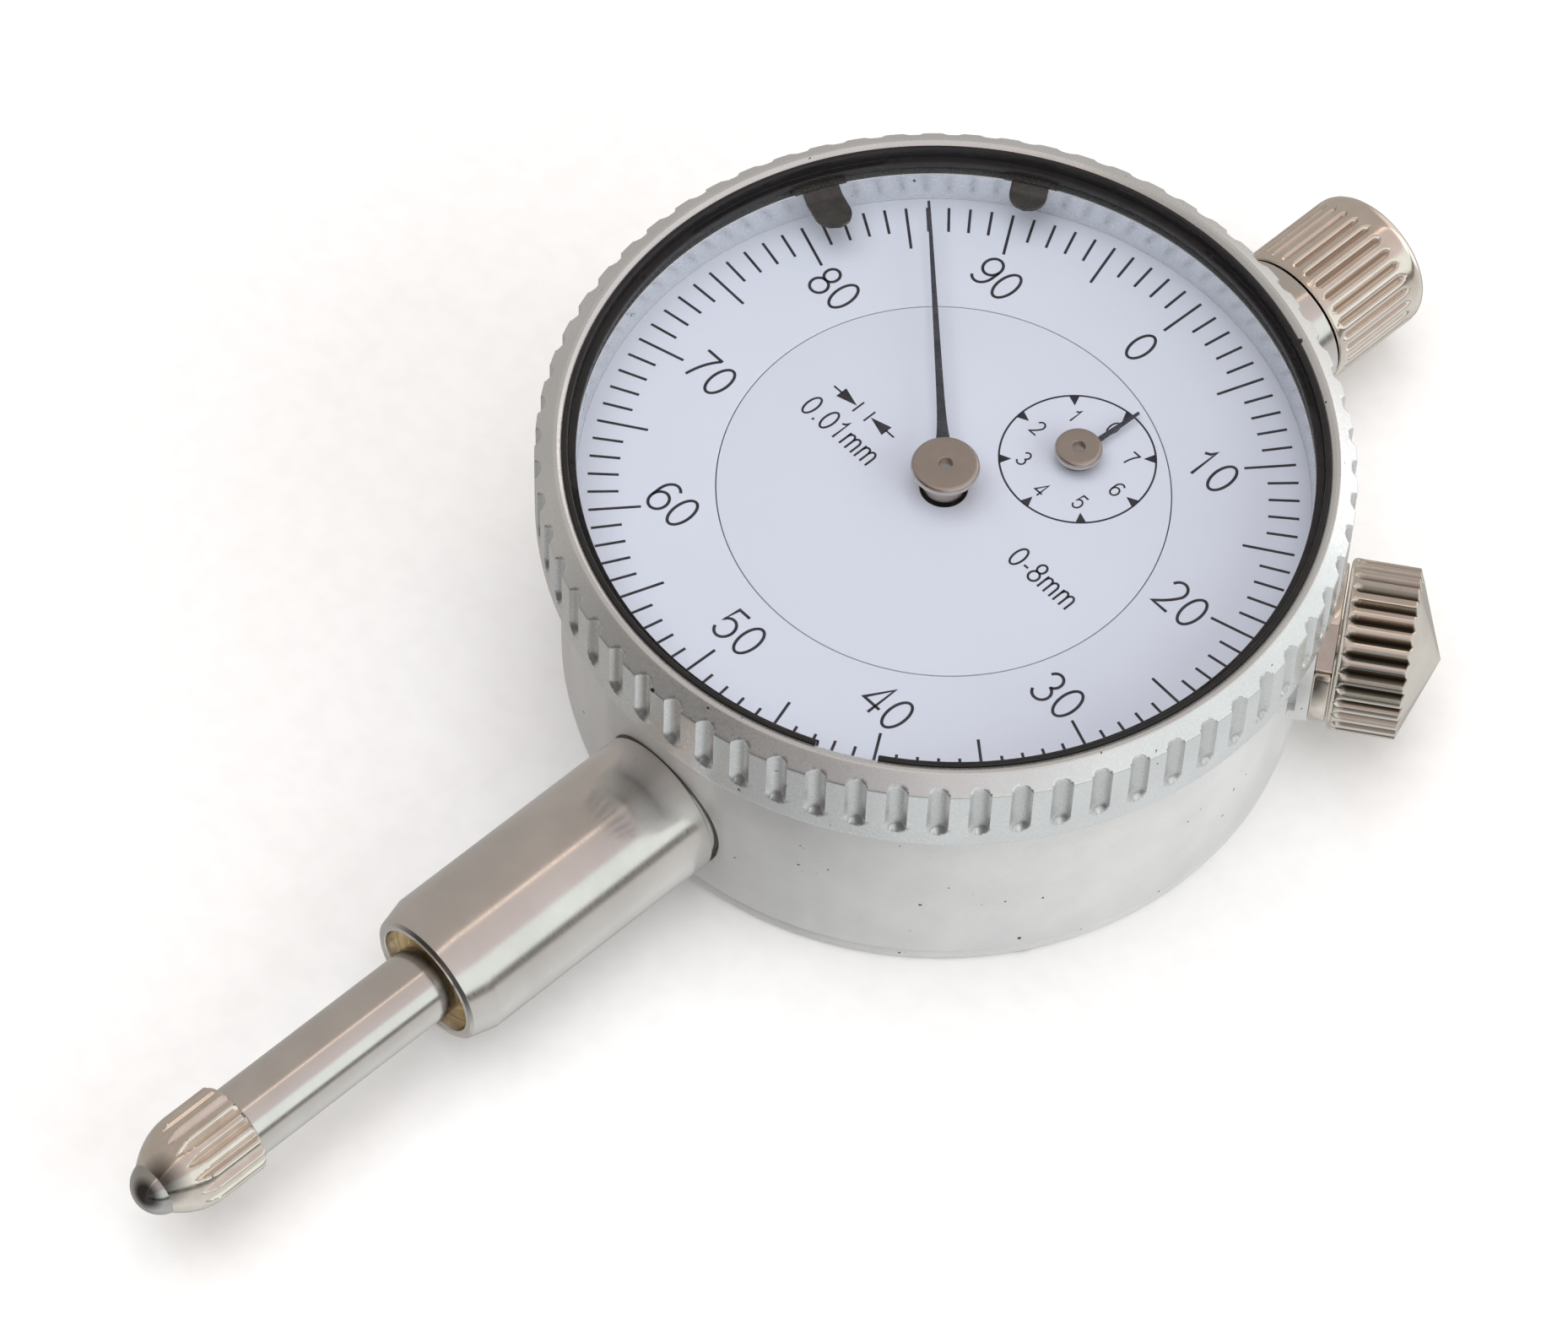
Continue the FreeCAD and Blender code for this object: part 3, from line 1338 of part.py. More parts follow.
def bezel_snap_ring():
    """A spring-wire ring in the spigot's groove; it is open where the clamp shoe passes."""
    low = size.groove_low + 0.04
    ring = padded("SnapRing", low, size.snap_thick, circles=[
        (0.0, 0.0, size.snap_outer), (0.0, 0.0, size.snap_inner),
    ])
    half = size.snap_opening_half
    depth = size.snap_outer - size.snap_inner + CUT_MARGIN * 2
    height = size.snap_thick + CUT_MARGIN * 2
    corner = radial(size.snap_inner - CUT_MARGIN, -half, low - CUT_MARGIN)
    opening = box(half * 2, depth, height, corner, CLAMP_TURN)
    publish(cut(ring, [opening], "BezelSnapRing"), "bezel_snap_ring")


def crystal_gasket():
    """The black split ring that holds the crystal; the limit markers slide beneath its lip."""
    body = turned("GasketRing", [
        (size.track_radius, size.seat_height),
        (size.seat_radius, size.seat_height),
        (size.seat_radius, size.rim_height - size.gasket_drop),
        (size.track_radius, size.rim_height - size.gasket_drop),
        (size.track_radius, size.gasket_top),
        (size.bezel_wall - size.gasket_play, size.gasket_top),
        (size.bezel_wall - size.gasket_play, size.gasket_height),
        (size.track_radius, size.gasket_height),
    ])
    turn = hand_turn(size.split_turn)
    half = size.split_width / 2
    inner = size.bezel_wall - CUT_MARGIN
    depth = size.seat_radius - inner + CUT_MARGIN
    height = size.rim_height - size.seat_height + CUT_MARGIN * 2
    corner = turn.multVec(Vector(-float(half), float(inner), 0))
    split = box(size.split_width, depth, height, (corner.x, corner.y, size.seat_height - CUT_MARGIN), turn)
    publish(cut(body, [split], "CrystalGasket"), "crystal_gasket")


def crystal():
    """The flat window, pressed in just under the rim."""
    top = size.gasket_top + size.crystal_thick
    body = turned("Crystal", [
        (0.0, size.gasket_top),
        (size.crystal_radius, size.gasket_top),
        (size.crystal_radius, top - size.crystal_edge),
        (size.crystal_radius - size.crystal_edge, top),
        (0.0, top),
    ])
    publish(body, "crystal")


def limit_marker(name, label, turn, tip, lean):
    """A tolerance marker: an arc foot in the track and a round-ended blade over the scale."""
    foot_half = float(size.marker_foot_half)
    outer = size.marker_foot_outer
    inner = size.marker_foot_inner
    low_angle = 90.0 - foot_half
    high_angle = 90.0 + foot_half
    foot = padded(name + "Foot", size.marker_low, size.marker_high - size.marker_low, [
        (outer * cosine(low_angle), outer * sine(low_angle), outer),
        (outer * cosine(high_angle), outer * sine(high_angle)),
        (inner * cosine(high_angle), inner * sine(high_angle), -inner),
        (inner * cosine(low_angle), inner * sine(low_angle)),
    ])
    half = size.marker_width / 2
    blade = padded(name + "Blade", size.marker_blade_low, size.marker_blade_thick, [
        (-half, size.marker_foot_inner + 0.1),
        (-half + lean, tip + half, half * 1.05),
        (half + lean, tip + half),
        (half, size.marker_foot_inner + 0.1),
    ])
    marker = fused([foot, blade], name)
    publish(place(marker, (0.0, 0.0, 0.0), hand_turn(turn)), label)


# Build ---------------------------------------------------------------------


def build():
    case_body()
    back_cover()
    back_cover_screws()
    stem()
    lower = -(size.stem_end - size.stem_lip)
    plain_bush("StemBush", "stem_bush", lower, size.bush_length, size.stem_bore)
    cap_sleeve()
    plain_bush("UpperBush", "upper_bush", size.boss_inner, size.bush_length, size.stem_bore)
    dust_cap()
    clamp_washer()
    clamp_screw()
    clamp_shoe()
    rear_plate()
    front_plate()
    plate_pillars()
    plate_screws()
    front_plate_screws()
    pinion_cock()
    cock_screws()
    guide_rail()
    guide_rail_screws()
    pivot_bushes()
    spring_post()
    return_spring()
    hairspring()
    hairspring_stud()
    spindle()
    contact_point()
    contact_ball()
    guide_pin()
    guide_pin_roller()
    rack_pinion_arbor()
    wheel("TransferGear", "transfer_gear", size.arbor_radius, drive_spot(), transfer_turn())
    centre_arbor()
    counter_arbor()
    wheel("TakeupGear", "takeup_gear", size.counter_arbor_radius, counter_spot(), takeup_turn())
    hairspring_collet()
    main_hand()
    main_hand_hub()
    small_hand()
    small_hand_hub()
    dial_centre_disc()
    dial_feet()
    scale_ring()
    bezel_ring()
    bezel_snap_ring()
    crystal_gasket()
    crystal()
    limit_marker("MarkerA", "limit_marker_a", size.marker_a_turn, size.marker_a_tip, 0.25)
    limit_marker("MarkerB", "limit_marker_b", size.marker_b_turn, size.marker_b_tip, 0.0)


def check_and_export():
    """Refuse any failed object or bad shape, then write one file per node."""
    doc.recompute()
    for item in doc.Objects:
        if "Invalid" in item.State or "Error" in item.State:
            raise ValueError(f"{item.Label} failed: {item.State}")
    for piece in nodes:
        shape = piece.Shape
        if shape.isNull() or not shape.isValid() or not shape.Solids:
            raise ValueError(f"{piece.Label} has no valid solid")
    os.makedirs("parts", exist_ok=True)
    for piece in nodes:
        piece.Shape.exportStep(f"parts/{piece.Label}.step")
        box_of = piece.Shape.BoundBox
        print(f"{piece.Label:20s} solids {len(piece.Shape.Solids)} volume {piece.Shape.Volume:9.3f}"
              f" z {box_of.ZMin:6.2f} {box_of.ZMax:6.2f} y {box_of.YMin:7.2f} {box_of.YMax:7.2f}")


build()
check_and_export()
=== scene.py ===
import json
import math

import bmesh
import bpy
from mathutils import Matrix, Vector


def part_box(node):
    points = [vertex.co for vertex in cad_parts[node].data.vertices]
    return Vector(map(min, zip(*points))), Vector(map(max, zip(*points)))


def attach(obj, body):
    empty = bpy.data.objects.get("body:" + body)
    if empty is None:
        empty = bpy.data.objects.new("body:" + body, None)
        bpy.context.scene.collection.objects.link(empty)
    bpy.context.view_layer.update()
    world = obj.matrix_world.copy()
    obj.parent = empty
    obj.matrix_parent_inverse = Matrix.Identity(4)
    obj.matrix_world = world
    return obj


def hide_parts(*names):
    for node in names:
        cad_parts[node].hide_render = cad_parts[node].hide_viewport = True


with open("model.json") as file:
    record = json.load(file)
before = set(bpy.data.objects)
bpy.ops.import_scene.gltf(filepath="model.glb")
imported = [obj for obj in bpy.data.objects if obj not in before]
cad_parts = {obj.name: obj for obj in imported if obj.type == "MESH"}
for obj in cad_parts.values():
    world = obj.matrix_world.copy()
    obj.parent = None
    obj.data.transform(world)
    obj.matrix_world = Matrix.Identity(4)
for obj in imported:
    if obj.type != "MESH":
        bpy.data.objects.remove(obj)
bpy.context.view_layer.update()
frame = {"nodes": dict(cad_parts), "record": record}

# Sizes are in millimetres, as on the drawing, and become metres when a mesh is made.
MM = 0.001


def middle(node):
    low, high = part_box(node)
    return (low + high) / 2 / MM


def top(node):
    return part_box(node)[1].z / MM


def bottom(node):
    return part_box(node)[0].z / MM


def reach(node):
    """The largest radius about Z of a node that is centred on Z."""
    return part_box(node)[1].x / MM


LINE_HEIGHT = middle("spindle").z
COUNTER = middle("small_hand_hub").to_2d()
DIAL = top("dial_centre_disc")
SLOTS = {row["node"]: row["material_slot"] for row in frame["record"]["subparts"]}

# Directions on the dial are clockwise from +Y, as a dial is read.
CLAMP_TURN = 53.6
DIAL_ZERO = 1.735
COUNTER_ZERO = -2.6
MAIN_TURN = 311.3
SMALL_TURN = 3.6
CLAMP_LINE = middle("clamp_screw").z


def clockwise(degrees):
    return Matrix.Rotation(math.radians(-degrees), 4, "Z")


# Each turns a shape made about Z so that it lies along +Y, or along the clamp's line.
TIPPED = Matrix.Rotation(math.radians(-90), 4, "X")
ALONG_SPINDLE = Matrix.Translation((0, 0, LINE_HEIGHT)) @ TIPPED
ALONG_CLAMP = Matrix.Translation((0, 0, CLAMP_LINE)) @ clockwise(CLAMP_TURN) @ TIPPED


# Camera, floor and lights --------------------------------------------------

CAMERA_AZIMUTH = -45.305
CAMERA_ELEVATION = 55.716
CAMERA_ROLL = 2.518
CAMERA_PLACE = (7.844, 1.191, -329.086)
FOCAL_LENGTH = 141.7
FILL_WATTS = 3.0
KEY_WATTS = 1.1


def make_camera():
    """Looks at the dial from the lower right; CAMERA_PLACE is where the origin stands before the lens."""
    azimuth = math.radians(CAMERA_AZIMUTH)
    elevation = math.radians(CAMERA_ELEVATION)
    back = Vector((
        math.cos(elevation) * math.cos(azimuth),
        math.cos(elevation) * math.sin(azimuth),
        math.sin(elevation),
    ))
    right = Vector((0, 0, 1)).cross(back).normalized()
    view = Matrix((right, back.cross(right), back))
    turned = Matrix.Rotation(math.radians(-CAMERA_ROLL), 3, "Z") @ view
    camera = bpy.data.objects.new("camera", bpy.data.cameras.new("camera"))
    camera.data.lens = FOCAL_LENGTH
    camera.data.clip_start = 0.01
    camera.data.clip_end = 20.0
    place = -(turned.transposed() @ Vector(CAMERA_PLACE)) * MM
    camera.matrix_world = Matrix.Translation(place) @ turned.transposed().to_4x4()
    bpy.context.scene.collection.objects.link(camera)
    bpy.context.scene.camera = camera


def area_light(name, place, size, watts, colour):
    """A soft rectangular light that faces the origin; the metal doesn't mirror it."""
    data = bpy.data.lights.new(name, "AREA")
    data.shape = "RECTANGLE"
    data.size, data.size_y = size
    data.energy = watts
    data.color = colour
    lamp = bpy.data.objects.new(name, data)
    lamp.location = place
    lamp.rotation_mode = "QUATERNION"
    lamp.rotation_quaternion = (-Vector(place)).to_track_quat("-Z", "Y")
    lamp.visible_glossy = False
    bpy.context.scene.collection.objects.link(lamp)


# The room's light by direction: degrees from straight up towards +X, then a colour.
ROOM = [
    (-180.0, (0.47, 0.46, 0.45)),
    (-150.0, (0.44, 0.425, 0.405)),
    (-90.0, (0.42, 0.39, 0.36)),
    (-12.0, (0.44, 0.395, 0.36)),
    (-1.0, (0.45, 0.40, 0.36)),
    (2.0, (1.6, 1.3, 1.08)),
    (5.0, (0.62, 0.55, 0.525)),
    (46.0, (0.70, 0.625, 0.62)),
    (52.0, (0.92, 0.97, 0.945)),
    (80.0, (0.95, 1.00, 0.97)),
    (86.0, (0.20, 0.19, 0.18)),
    (94.0, (0.22, 0.21, 0.20)),
    (100.0, (0.62, 0.61, 0.59)),
    (150.0, (0.74, 0.75, 0.745)),
    (180.0, (0.60, 0.60, 0.595)),
]
BACKDROP = (0.93, 0.93, 0.93)
# How bright the room is towards the contact point and towards the dust cap, and where each
# change begins and ends, as the y part of the direction.
NEAR_SIDE = 0.12
NEAR_FADE = (-0.85, -0.45)
FAR_SIDE = 2.0
FAR_FADE = (0.86, 0.94)


def make_room():
    """A studio: a broad soft window low on the right, a thin warm lamp above, dim warm walls elsewhere."""
    world = bpy.data.worlds.new("room")
    bpy.context.scene.world = world
    world.use_nodes = True
    tree = world.node_tree
    coords = tree.nodes.new("ShaderNodeTexCoord")
    parts = tree.nodes.new("ShaderNodeSeparateXYZ")
    tree.links.new(coords.outputs["Generated"], parts.inputs[0])
    lean = maths(tree, "ARCTAN2", parts.outputs["X"], parts.outputs["Z"])
    ramp = tree.nodes.new("ShaderNodeValToRGB")
    tree.links.new(remap(tree, lean, 0.0, 1.0, -math.pi, math.pi), ramp.inputs["Fac"])
    near = remap(tree, parts.outputs["Y"], NEAR_SIDE, 1.0, *NEAR_FADE)
    far = remap(tree, parts.outputs["Y"], 1.0, FAR_SIDE, *FAR_FADE)
    shade = tree.nodes.new("ShaderNodeVectorMath")
    shade.operation = "SCALE"
    tree.links.new(ramp.outputs["Color"], shade.inputs[0])
    tree.links.new(maths(tree, "MULTIPLY", near, far), shade.inputs["Scale"])
    ray = tree.nodes.new("ShaderNodeLightPath")
    seen = blended(tree, ray.outputs["Is Camera Ray"], shade.outputs["Vector"], BACKDROP)
    tree.links.new(seen, tree.nodes["Background"].inputs["Color"])
    stops = ramp.color_ramp.elements
    stops.remove(stops[1])
    stops[0].position = 0.5 + ROOM[0][0] / 360
    stops[0].color = (*ROOM[0][1], 1)
    for degrees, colour in ROOM[1:]:
        stops.new(0.5 + degrees / 360).color = (*colour, 1)


def make_lights():
    """A soft fill over the dial and a gentle key from the right."""
    area_light("top_fill", (-0.05, -0.1, 0.6), (0.7, 0.7), FILL_WATTS, (0.95, 0.975, 1.0))
    area_light("key_box", (0.42, 0.12, 0.25), (0.5, 0.36), KEY_WATTS, (1.0, 0.99, 0.98))


def make_floor():
    """A pale sheet under the indicator; the metal mirrors the room instead of it."""
    half = 3.0
    mesh = bpy.data.meshes.new("floor")
    corners = [(-half, -half, 0), (half, -half, 0), (half, half, 0), (-half, half, 0)]
    mesh.from_pydata(corners, [], [(0, 1, 2, 3)])
    floor = bpy.data.objects.new("floor", mesh)
    bpy.context.scene.collection.objects.link(floor)
    material, tree, surface = new_material("floor_sheet", (0.93, 0.93, 0.93), 0.0, 0.7)
    grain = noise(tree, 1.5, detail=4)
    colour_between(tree, surface, grain, (0.92, 0.92, 0.92), (0.95, 0.95, 0.95))
    mesh.materials.append(material)
    floor.visible_glossy = False


# Materials -----------------------------------------------------------------


# Most of a noise texture's values lie between these two.
NOISE_LOW, NOISE_HIGH = 0.35, 0.65
# Only the highest peaks of a noise become pits.
PIT_EDGE, PIT_DEEP = 0.798, 0.82
PIT_COLOUR = (0.12, 0.11, 0.10)


def new_material(name, colour, metallic, roughness):
    material = bpy.data.materials.new(name)
    material.use_nodes = True
    surface = material.node_tree.nodes["Principled BSDF"]
    surface.inputs["Base Color"].default_value = (*colour, 1)
    surface.inputs["Metallic"].default_value = metallic
    surface.inputs["Roughness"].default_value = roughness
    return material, material.node_tree, surface


def noise(tree, grain, detail, stretch=(1, 1, 1), contrast=0.5):
    """Noise whose features are about grain millimetres across, longer along an axis with a small stretch."""
    coords = tree.nodes.new("ShaderNodeTexCoord")
    mapping = tree.nodes.new("ShaderNodeMapping")
    texture = tree.nodes.new("ShaderNodeTexNoise")
    mapping.inputs["Scale"].default_value = [part / (grain * MM) for part in stretch]
    texture.inputs["Scale"].default_value = 1.0
    texture.inputs["Detail"].default_value = detail
    texture.inputs["Roughness"].default_value = contrast
    tree.links.new(coords.outputs["Object"], mapping.inputs["Vector"])
    tree.links.new(mapping.outputs["Vector"], texture.inputs["Vector"])
    return texture.outputs["Fac"]


def rings(tree, pitch, wobble):
    """Fine turning marks: circles about Z."""
    coords = tree.nodes.new("ShaderNodeTexCoord")
    wave = tree.nodes.new("ShaderNodeTexWave")
    wave.wave_type = "RINGS"
    wave.rings_direction = "Z"
    wave.inputs["Scale"].default_value = 0.314 / (pitch * MM)
    wave.inputs["Distortion"].default_value = wobble
    wave.inputs["Detail"].default_value = 3.0
    wave.inputs["Detail Scale"].default_value = 2.0
    tree.links.new(coords.outputs["Object"], wave.inputs["Vector"])
    return wave.outputs["Fac"]


def maths(tree, operation, *values):
    """One step of arithmetic; each value is a number or the output of another node."""
    node = tree.nodes.new("ShaderNodeMath")
    node.operation = operation
    for index, value in enumerate(values):
        if isinstance(value, float):
            node.inputs[index].default_value = value
        else:
            tree.links.new(value, node.inputs[index])
    return node.outputs[0]


def blended(tree, share, first, second):
    """Goes from the output first to the plain colour second as share goes from 0 to 1."""
    mix = tree.nodes.new("ShaderNodeMix")
    mix.data_type = "RGBA"
    mix.inputs["B"].default_value = (*second, 1)
    tree.links.new(share, mix.inputs["Factor"])
    tree.links.new(first, mix.inputs["A"])
    return mix.outputs["Result"]


def remap(tree, factor, low, high, start=NOISE_LOW, end=NOISE_HIGH):
    """Goes from low to high as the factor goes from start to end."""
    node = tree.nodes.new("ShaderNodeMapRange")
    node.inputs["From Min"].default_value = start
    node.inputs["From Max"].default_value = end
    node.inputs["To Min"].default_value = low
    node.inputs["To Max"].default_value = high
    tree.links.new(factor, node.inputs["Value"])
    return node.outputs["Result"]


def colour_between(tree, surface, factor, first, second):
    """Colours a surface from one tone to another by a noise."""
    ramp = tree.nodes.new("ShaderNodeValToRGB")
    ramp.color_ramp.elements[0].position = NOISE_LOW
    ramp.color_ramp.elements[0].color = (*first, 1)
    ramp.color_ramp.elements[1].position = NOISE_HIGH
    ramp.color_ramp.elements[1].color = (*second, 1)
    tree.links.new(factor, ramp.inputs["Fac"])
    tree.links.new(ramp.outputs["Color"], surface.inputs["Base Color"])
    return ramp.outputs["Color"]


def bump(tree, surface, height, depth, strength):
    """Raises the surface by up to depth millimetres where height is 1."""
    node = tree.nodes.new("ShaderNodeBump")
    node.inputs["Strength"].default_value = strength
    node.inputs["Distance"].default_value = depth * MM
    tree.links.new(height, node.inputs["Height"])
    tree.links.new(node.outputs["Normal"], surface.inputs["Normal"])


def satin_aluminium(name, colour, roughness, grain, metallic, relief):
    """Bead-blasted and plated: fine mottled grain, faint clouding and a few dark pits."""
    material, tree, surface = new_material(name, colour, metallic, roughness)
    clouds = noise(tree, 4.0, detail=4)
    darker = [part * 0.96 for part in colour]
    pale = [min(part * 1.03, 0.98) for part in colour]
    mottled = colour_between(tree, surface, clouds, darker, pale)
    pits = remap(tree, noise(tree, 0.45, detail=0.5), 0.0, 1.0, PIT_EDGE, PIT_DEEP)
    tree.links.new(blended(tree, pits, mottled, PIT_COLOUR), surface.inputs["Base Color"])
    fine = noise(tree, grain, detail=3, contrast=0.6)
    tree.links.new(remap(tree, fine, roughness - 0.06, roughness + 0.08), surface.inputs["Roughness"])
    bump(tree, surface, fine, relief, 0.6)
    return material


def polished_steel(name, colour, roughness):
    """Ground and polished: fine marks round a rod along Y, and faint clouds."""
    material, tree, surface = new_material(name, colour, 1.0, roughness)
    marks = noise(tree, 0.6, detail=4, stretch=(1, 12, 1), contrast=0.7)
    clouds = noise(tree, 3.0, detail=3)
    darker = [part * 0.92 for part in colour]
    colour_between(tree, surface, clouds, darker, colour)
    tree.links.new(remap(tree, marks, roughness - 0.05, roughness + 0.07), surface.inputs["Roughness"])
    bump(tree, surface, marks, 0.0008, 0.4)
    return material


def plated(name, colour, roughness, stain, grain=0.25):
    """Bright warm plating, a little stained and softened where it is handled."""
    material, tree, surface = new_material(name, colour, 1.0, roughness)
    clouds = noise(tree, 1.3, detail=5, contrast=0.6)
    colour_between(tree, surface, clouds, stain, colour)
    fine = noise(tree, grain, detail=3)
    tree.links.new(remap(tree, fine, roughness - 0.03, roughness + 0.06), surface.inputs["Roughness"])
    bump(tree, surface, fine, 0.0008, 0.4)
    return material


def with_grime(material, depth, shade_colour):
    """Paints shade into a finish: the colour darkens towards the bottom of grooves, whose depth in
    millimetres the mesh keeps as hollow, as painted shade standing in for the shade there.
    """
    tree = material.node_tree
    base = tree.nodes["Principled BSDF"].inputs["Base Color"]
    hollow = tree.nodes.new("ShaderNodeAttribute")
    hollow.attribute_name = "hollow"
    share = remap(tree, hollow.outputs["Fac"], 0.0, 1.0, 0.0, depth)
    tree.links.new(blended(tree, share, base.links[0].from_socket, shade_colour), base)
    return material


def turned_metal(name, colour, roughness, pitch=0.08):
    """Machined stock for the movement: concentric marks over a slightly uneven colour."""
    material, tree, surface = new_material(name, colour, 1.0, roughness)
    clouds = noise(tree, 1.0, detail=4)
    colour_between(tree, surface, clouds, [part * 0.85 for part in colour], colour)
    marks = rings(tree, pitch, 1.5)
    gloss = remap(tree, marks, roughness - 0.05, roughness + 0.06, 0.0, 1.0)
    tree.links.new(gloss, surface.inputs["Roughness"])
    bump(tree, surface, marks, 0.002, 0.4)
    return material


def printed_enamel(name, colour):
    """The dial's baked white: bluish, even, with the faintest orange peel."""
    material, tree, surface = new_material(name, colour, 0.0, 0.42)
    clouds = noise(tree, 6.0, detail=3)
    colour_between(tree, surface, clouds, [part * 0.985 for part in colour], colour)
    peel = noise(tree, 0.25, detail=2)
    tree.links.new(remap(tree, peel, 0.38, 0.46), surface.inputs["Roughness"])
    bump(tree, surface, peel, 0.002, 0.35)
    return material


def dark_finish(name, colour, second, roughness, metallic=0.0):
    """Ink, plastic and blacking: two near tones and a soft uneven gloss."""
    material, tree, surface = new_material(name, colour, metallic, roughness)
    clouds = noise(tree, 0.8, detail=4)
    colour_between(tree, surface, clouds, colour, second)
    fine = noise(tree, 0.2, detail=3)
    tree.links.new(remap(tree, fine, roughness - 0.05, roughness + 0.08), surface.inputs["Roughness"])
    bump(tree, surface, fine, 0.0008, 0.3)
    return material


def window_glass(name):
    """Thin clear window: it lets light straight through and keeps a faint gloss."""
    material = bpy.data.materials.new(name)
    material.use_nodes = True
    tree = material.node_tree
    tree.nodes.remove(tree.nodes["Principled BSDF"])
    clear = tree.nodes.new("ShaderNodeBsdfTransparent")
    clear.inputs["Color"].default_value = (0.985, 0.99, 1.0, 1)
    gloss = tree.nodes.new("ShaderNodeBsdfGlossy")
    facing = tree.nodes.new("ShaderNodeLayerWeight")
    facing.inputs["Blend"].default_value = 0.5
    grazing = maths(tree, "POWER", facing.outputs["Facing"], 5.0)
    share = maths(tree, "MULTIPLY_ADD", grazing, 0.45, 0.012)
    smear = noise(tree, 5.0, detail=4)
    tree.links.new(remap(tree, smear, 0.03, 0.09), gloss.inputs["Roughness"])
    mix = tree.nodes.new("ShaderNodeMixShader")
    tree.links.new(share, mix.inputs[0])
    tree.links.new(clear.outputs[0], mix.inputs[1])
    tree.links.new(gloss.outputs[0], mix.inputs[2])
    tree.links.new(mix.outputs[0], tree.nodes["Material Output"].inputs["Surface"])
    return material


MATERIALS = {
    "case": satin_aluminium("case_satin", (0.88, 0.885, 0.885), 0.52, 0.22, 0.72, 0.01),
    # The bezel's flutes get painted shade: the finish darkens to grey towards the bottom of each flute.
    "fluted": with_grime(
        satin_aluminium("fluted_satin", (0.80, 0.82, 0.83), 0.31, 0.14, 0.9, 0.003),
        0.55,
        (0.56, 0.565, 0.57),
    ),
    "steel": polished_steel("ground_steel", (0.80, 0.775, 0.75), 0.15),
    "nickel": plated("warm_nickel", (0.88, 0.82, 0.75), 0.12, (0.80, 0.73, 0.65)),
    # The thumbscrew's knurl gets painted shade: the plating darkens to near black towards the bottom of each
    # groove.
    "knob": with_grime(
        plated("knob_nickel", (0.84, 0.78, 0.71), 0.12, (0.80, 0.73, 0.65)),
        0.36,
        (0.13, 0.11, 0.09),
    ),
    # The dust cap's knurl gets painted shade: the plating darkens to brown towards the bottom of each groove.
    "cap": with_grime(
        plated("cap_nickel", (0.90, 0.83, 0.76), 0.12, (0.82, 0.74, 0.66)),
        0.3,
        (0.60, 0.51, 0.44),
    ),
    "hub": plated("hub_nickel", (0.60, 0.53, 0.475), 0.3, (0.56, 0.485, 0.43), 1.0),
    "brass": turned_metal("bush_brass", (0.78, 0.58, 0.27), 0.28),
    "plate": turned_metal("plate_brass", (0.80, 0.66, 0.40), 0.36, 0.15),
    "screw": turned_metal("screw_steel", (0.58, 0.58, 0.59), 0.3),
    "spring": polished_steel("spring_wire", (0.50, 0.51, 0.54), 0.28),
    "ball": polished_steel("ball_steel", (0.56, 0.55, 0.54), 0.1),
    "dial": printed_enamel("dial_enamel", (0.59, 0.618, 0.69)),
    "ink": dark_finish("dial_ink", (0.012, 0.012, 0.018), (0.03, 0.03, 0.038), 0.55),
    "seal": dark_finish("seal_plastic", (0.008, 0.008, 0.009), (0.013, 0.011, 0.011), 0.42),
    "tab": dark_finish("tab_lacquer", (0.02, 0.02, 0.018), (0.035, 0.032, 0.028), 0.25),
    "hand": dark_finish("hand_blacking", (0.055, 0.06, 0.074), (0.085, 0.09, 0.108), 0.3, 0.6),
    "glass": window_glass("crystal_glass"),
}


# Mesh tools ----------------------------------------------------------------

ARC_STEPS = 6


def rounded(outline):
    """A closed outline whose (x, y, radius) corners become arcs; (x, y) corners stay sharp."""
    points = []
    for index, corner in enumerate(outline):
        here = Vector(corner[:2])
        if len(corner) == 2:
            points.append(here)
            continue
        back = (Vector(outline[index - 1][:2]) - here).normalized()
        ahead = (Vector(outline[(index + 1) % len(outline)][:2]) - here).normalized()
        half = back.angle(ahead) / 2
        centre = here + (back + ahead).normalized() * corner[2] / math.sin(half)
        first = (here + back * corner[2] / math.tan(half) - centre).normalized()
        last = (here + ahead * corner[2] / math.tan(half) - centre).normalized()
        shares = [step / ARC_STEPS for step in range(ARC_STEPS + 1)]
        points += [centre + first.slerp(last, share) * corner[2] for share in shares]
    return points


def divided(points, longest, low, high):
    """Adds points to the edges of an outline that lie between two heights, so that none is longer."""
    result = []
    for index, here in enumerate(points):
        following = points[(index + 1) % len(points)]
        result.append(here)
        inside = low <= min(here.y, following.y) and max(here.y, following.y) <= high
        parts = math.ceil((following - here).length / longest) if inside else 1
        result += [here.lerp(following, step / parts) for step in range(1, parts)]
    return result


def even_angles(count):
    return [2 * math.pi * step / count for step in range(count)]


def groove_angles(count, half_angle, inside=4, outside=2):
    """Angles for a surface with repeated grooves: each groove's edges, its inside and the land after it."""
    pitch = 2 * math.pi / count
    one = [half_angle * step / inside for step in range(-inside, inside)]
    one += [half_angle + (pitch - 2 * half_angle) * step / outside for step in range(outside)]
    return [pitch * index + angle for index in range(count) for angle in one]


def lathe(points, angles, reshape=None):
    """Turns a closed outline of (radius, height) about Z; reshape may pull a point in."""
    verts, faces = [], []
    rows = len(points)
    for angle in angles:
        for point in points:
            radius = reshape(point.x, point.y, angle) if reshape else point.x
            verts.append(Vector((radius * math.cos(angle), radius * math.sin(angle), point.y)))
    for column in range(len(angles)):
        here = column * rows
        ahead = (column + 1) % len(angles) * rows
        for row in range(rows):
            above = (row + 1) % rows
            faces.append((here + row, ahead + row, ahead + above, here + above))
    return verts, faces


def hollows(points, angles, reshape):
    """How far reshape pulls in each vertex that lathe makes from the same values."""
    return [point.x - reshape(point.x, point.y, angle) for angle in angles for point in points]


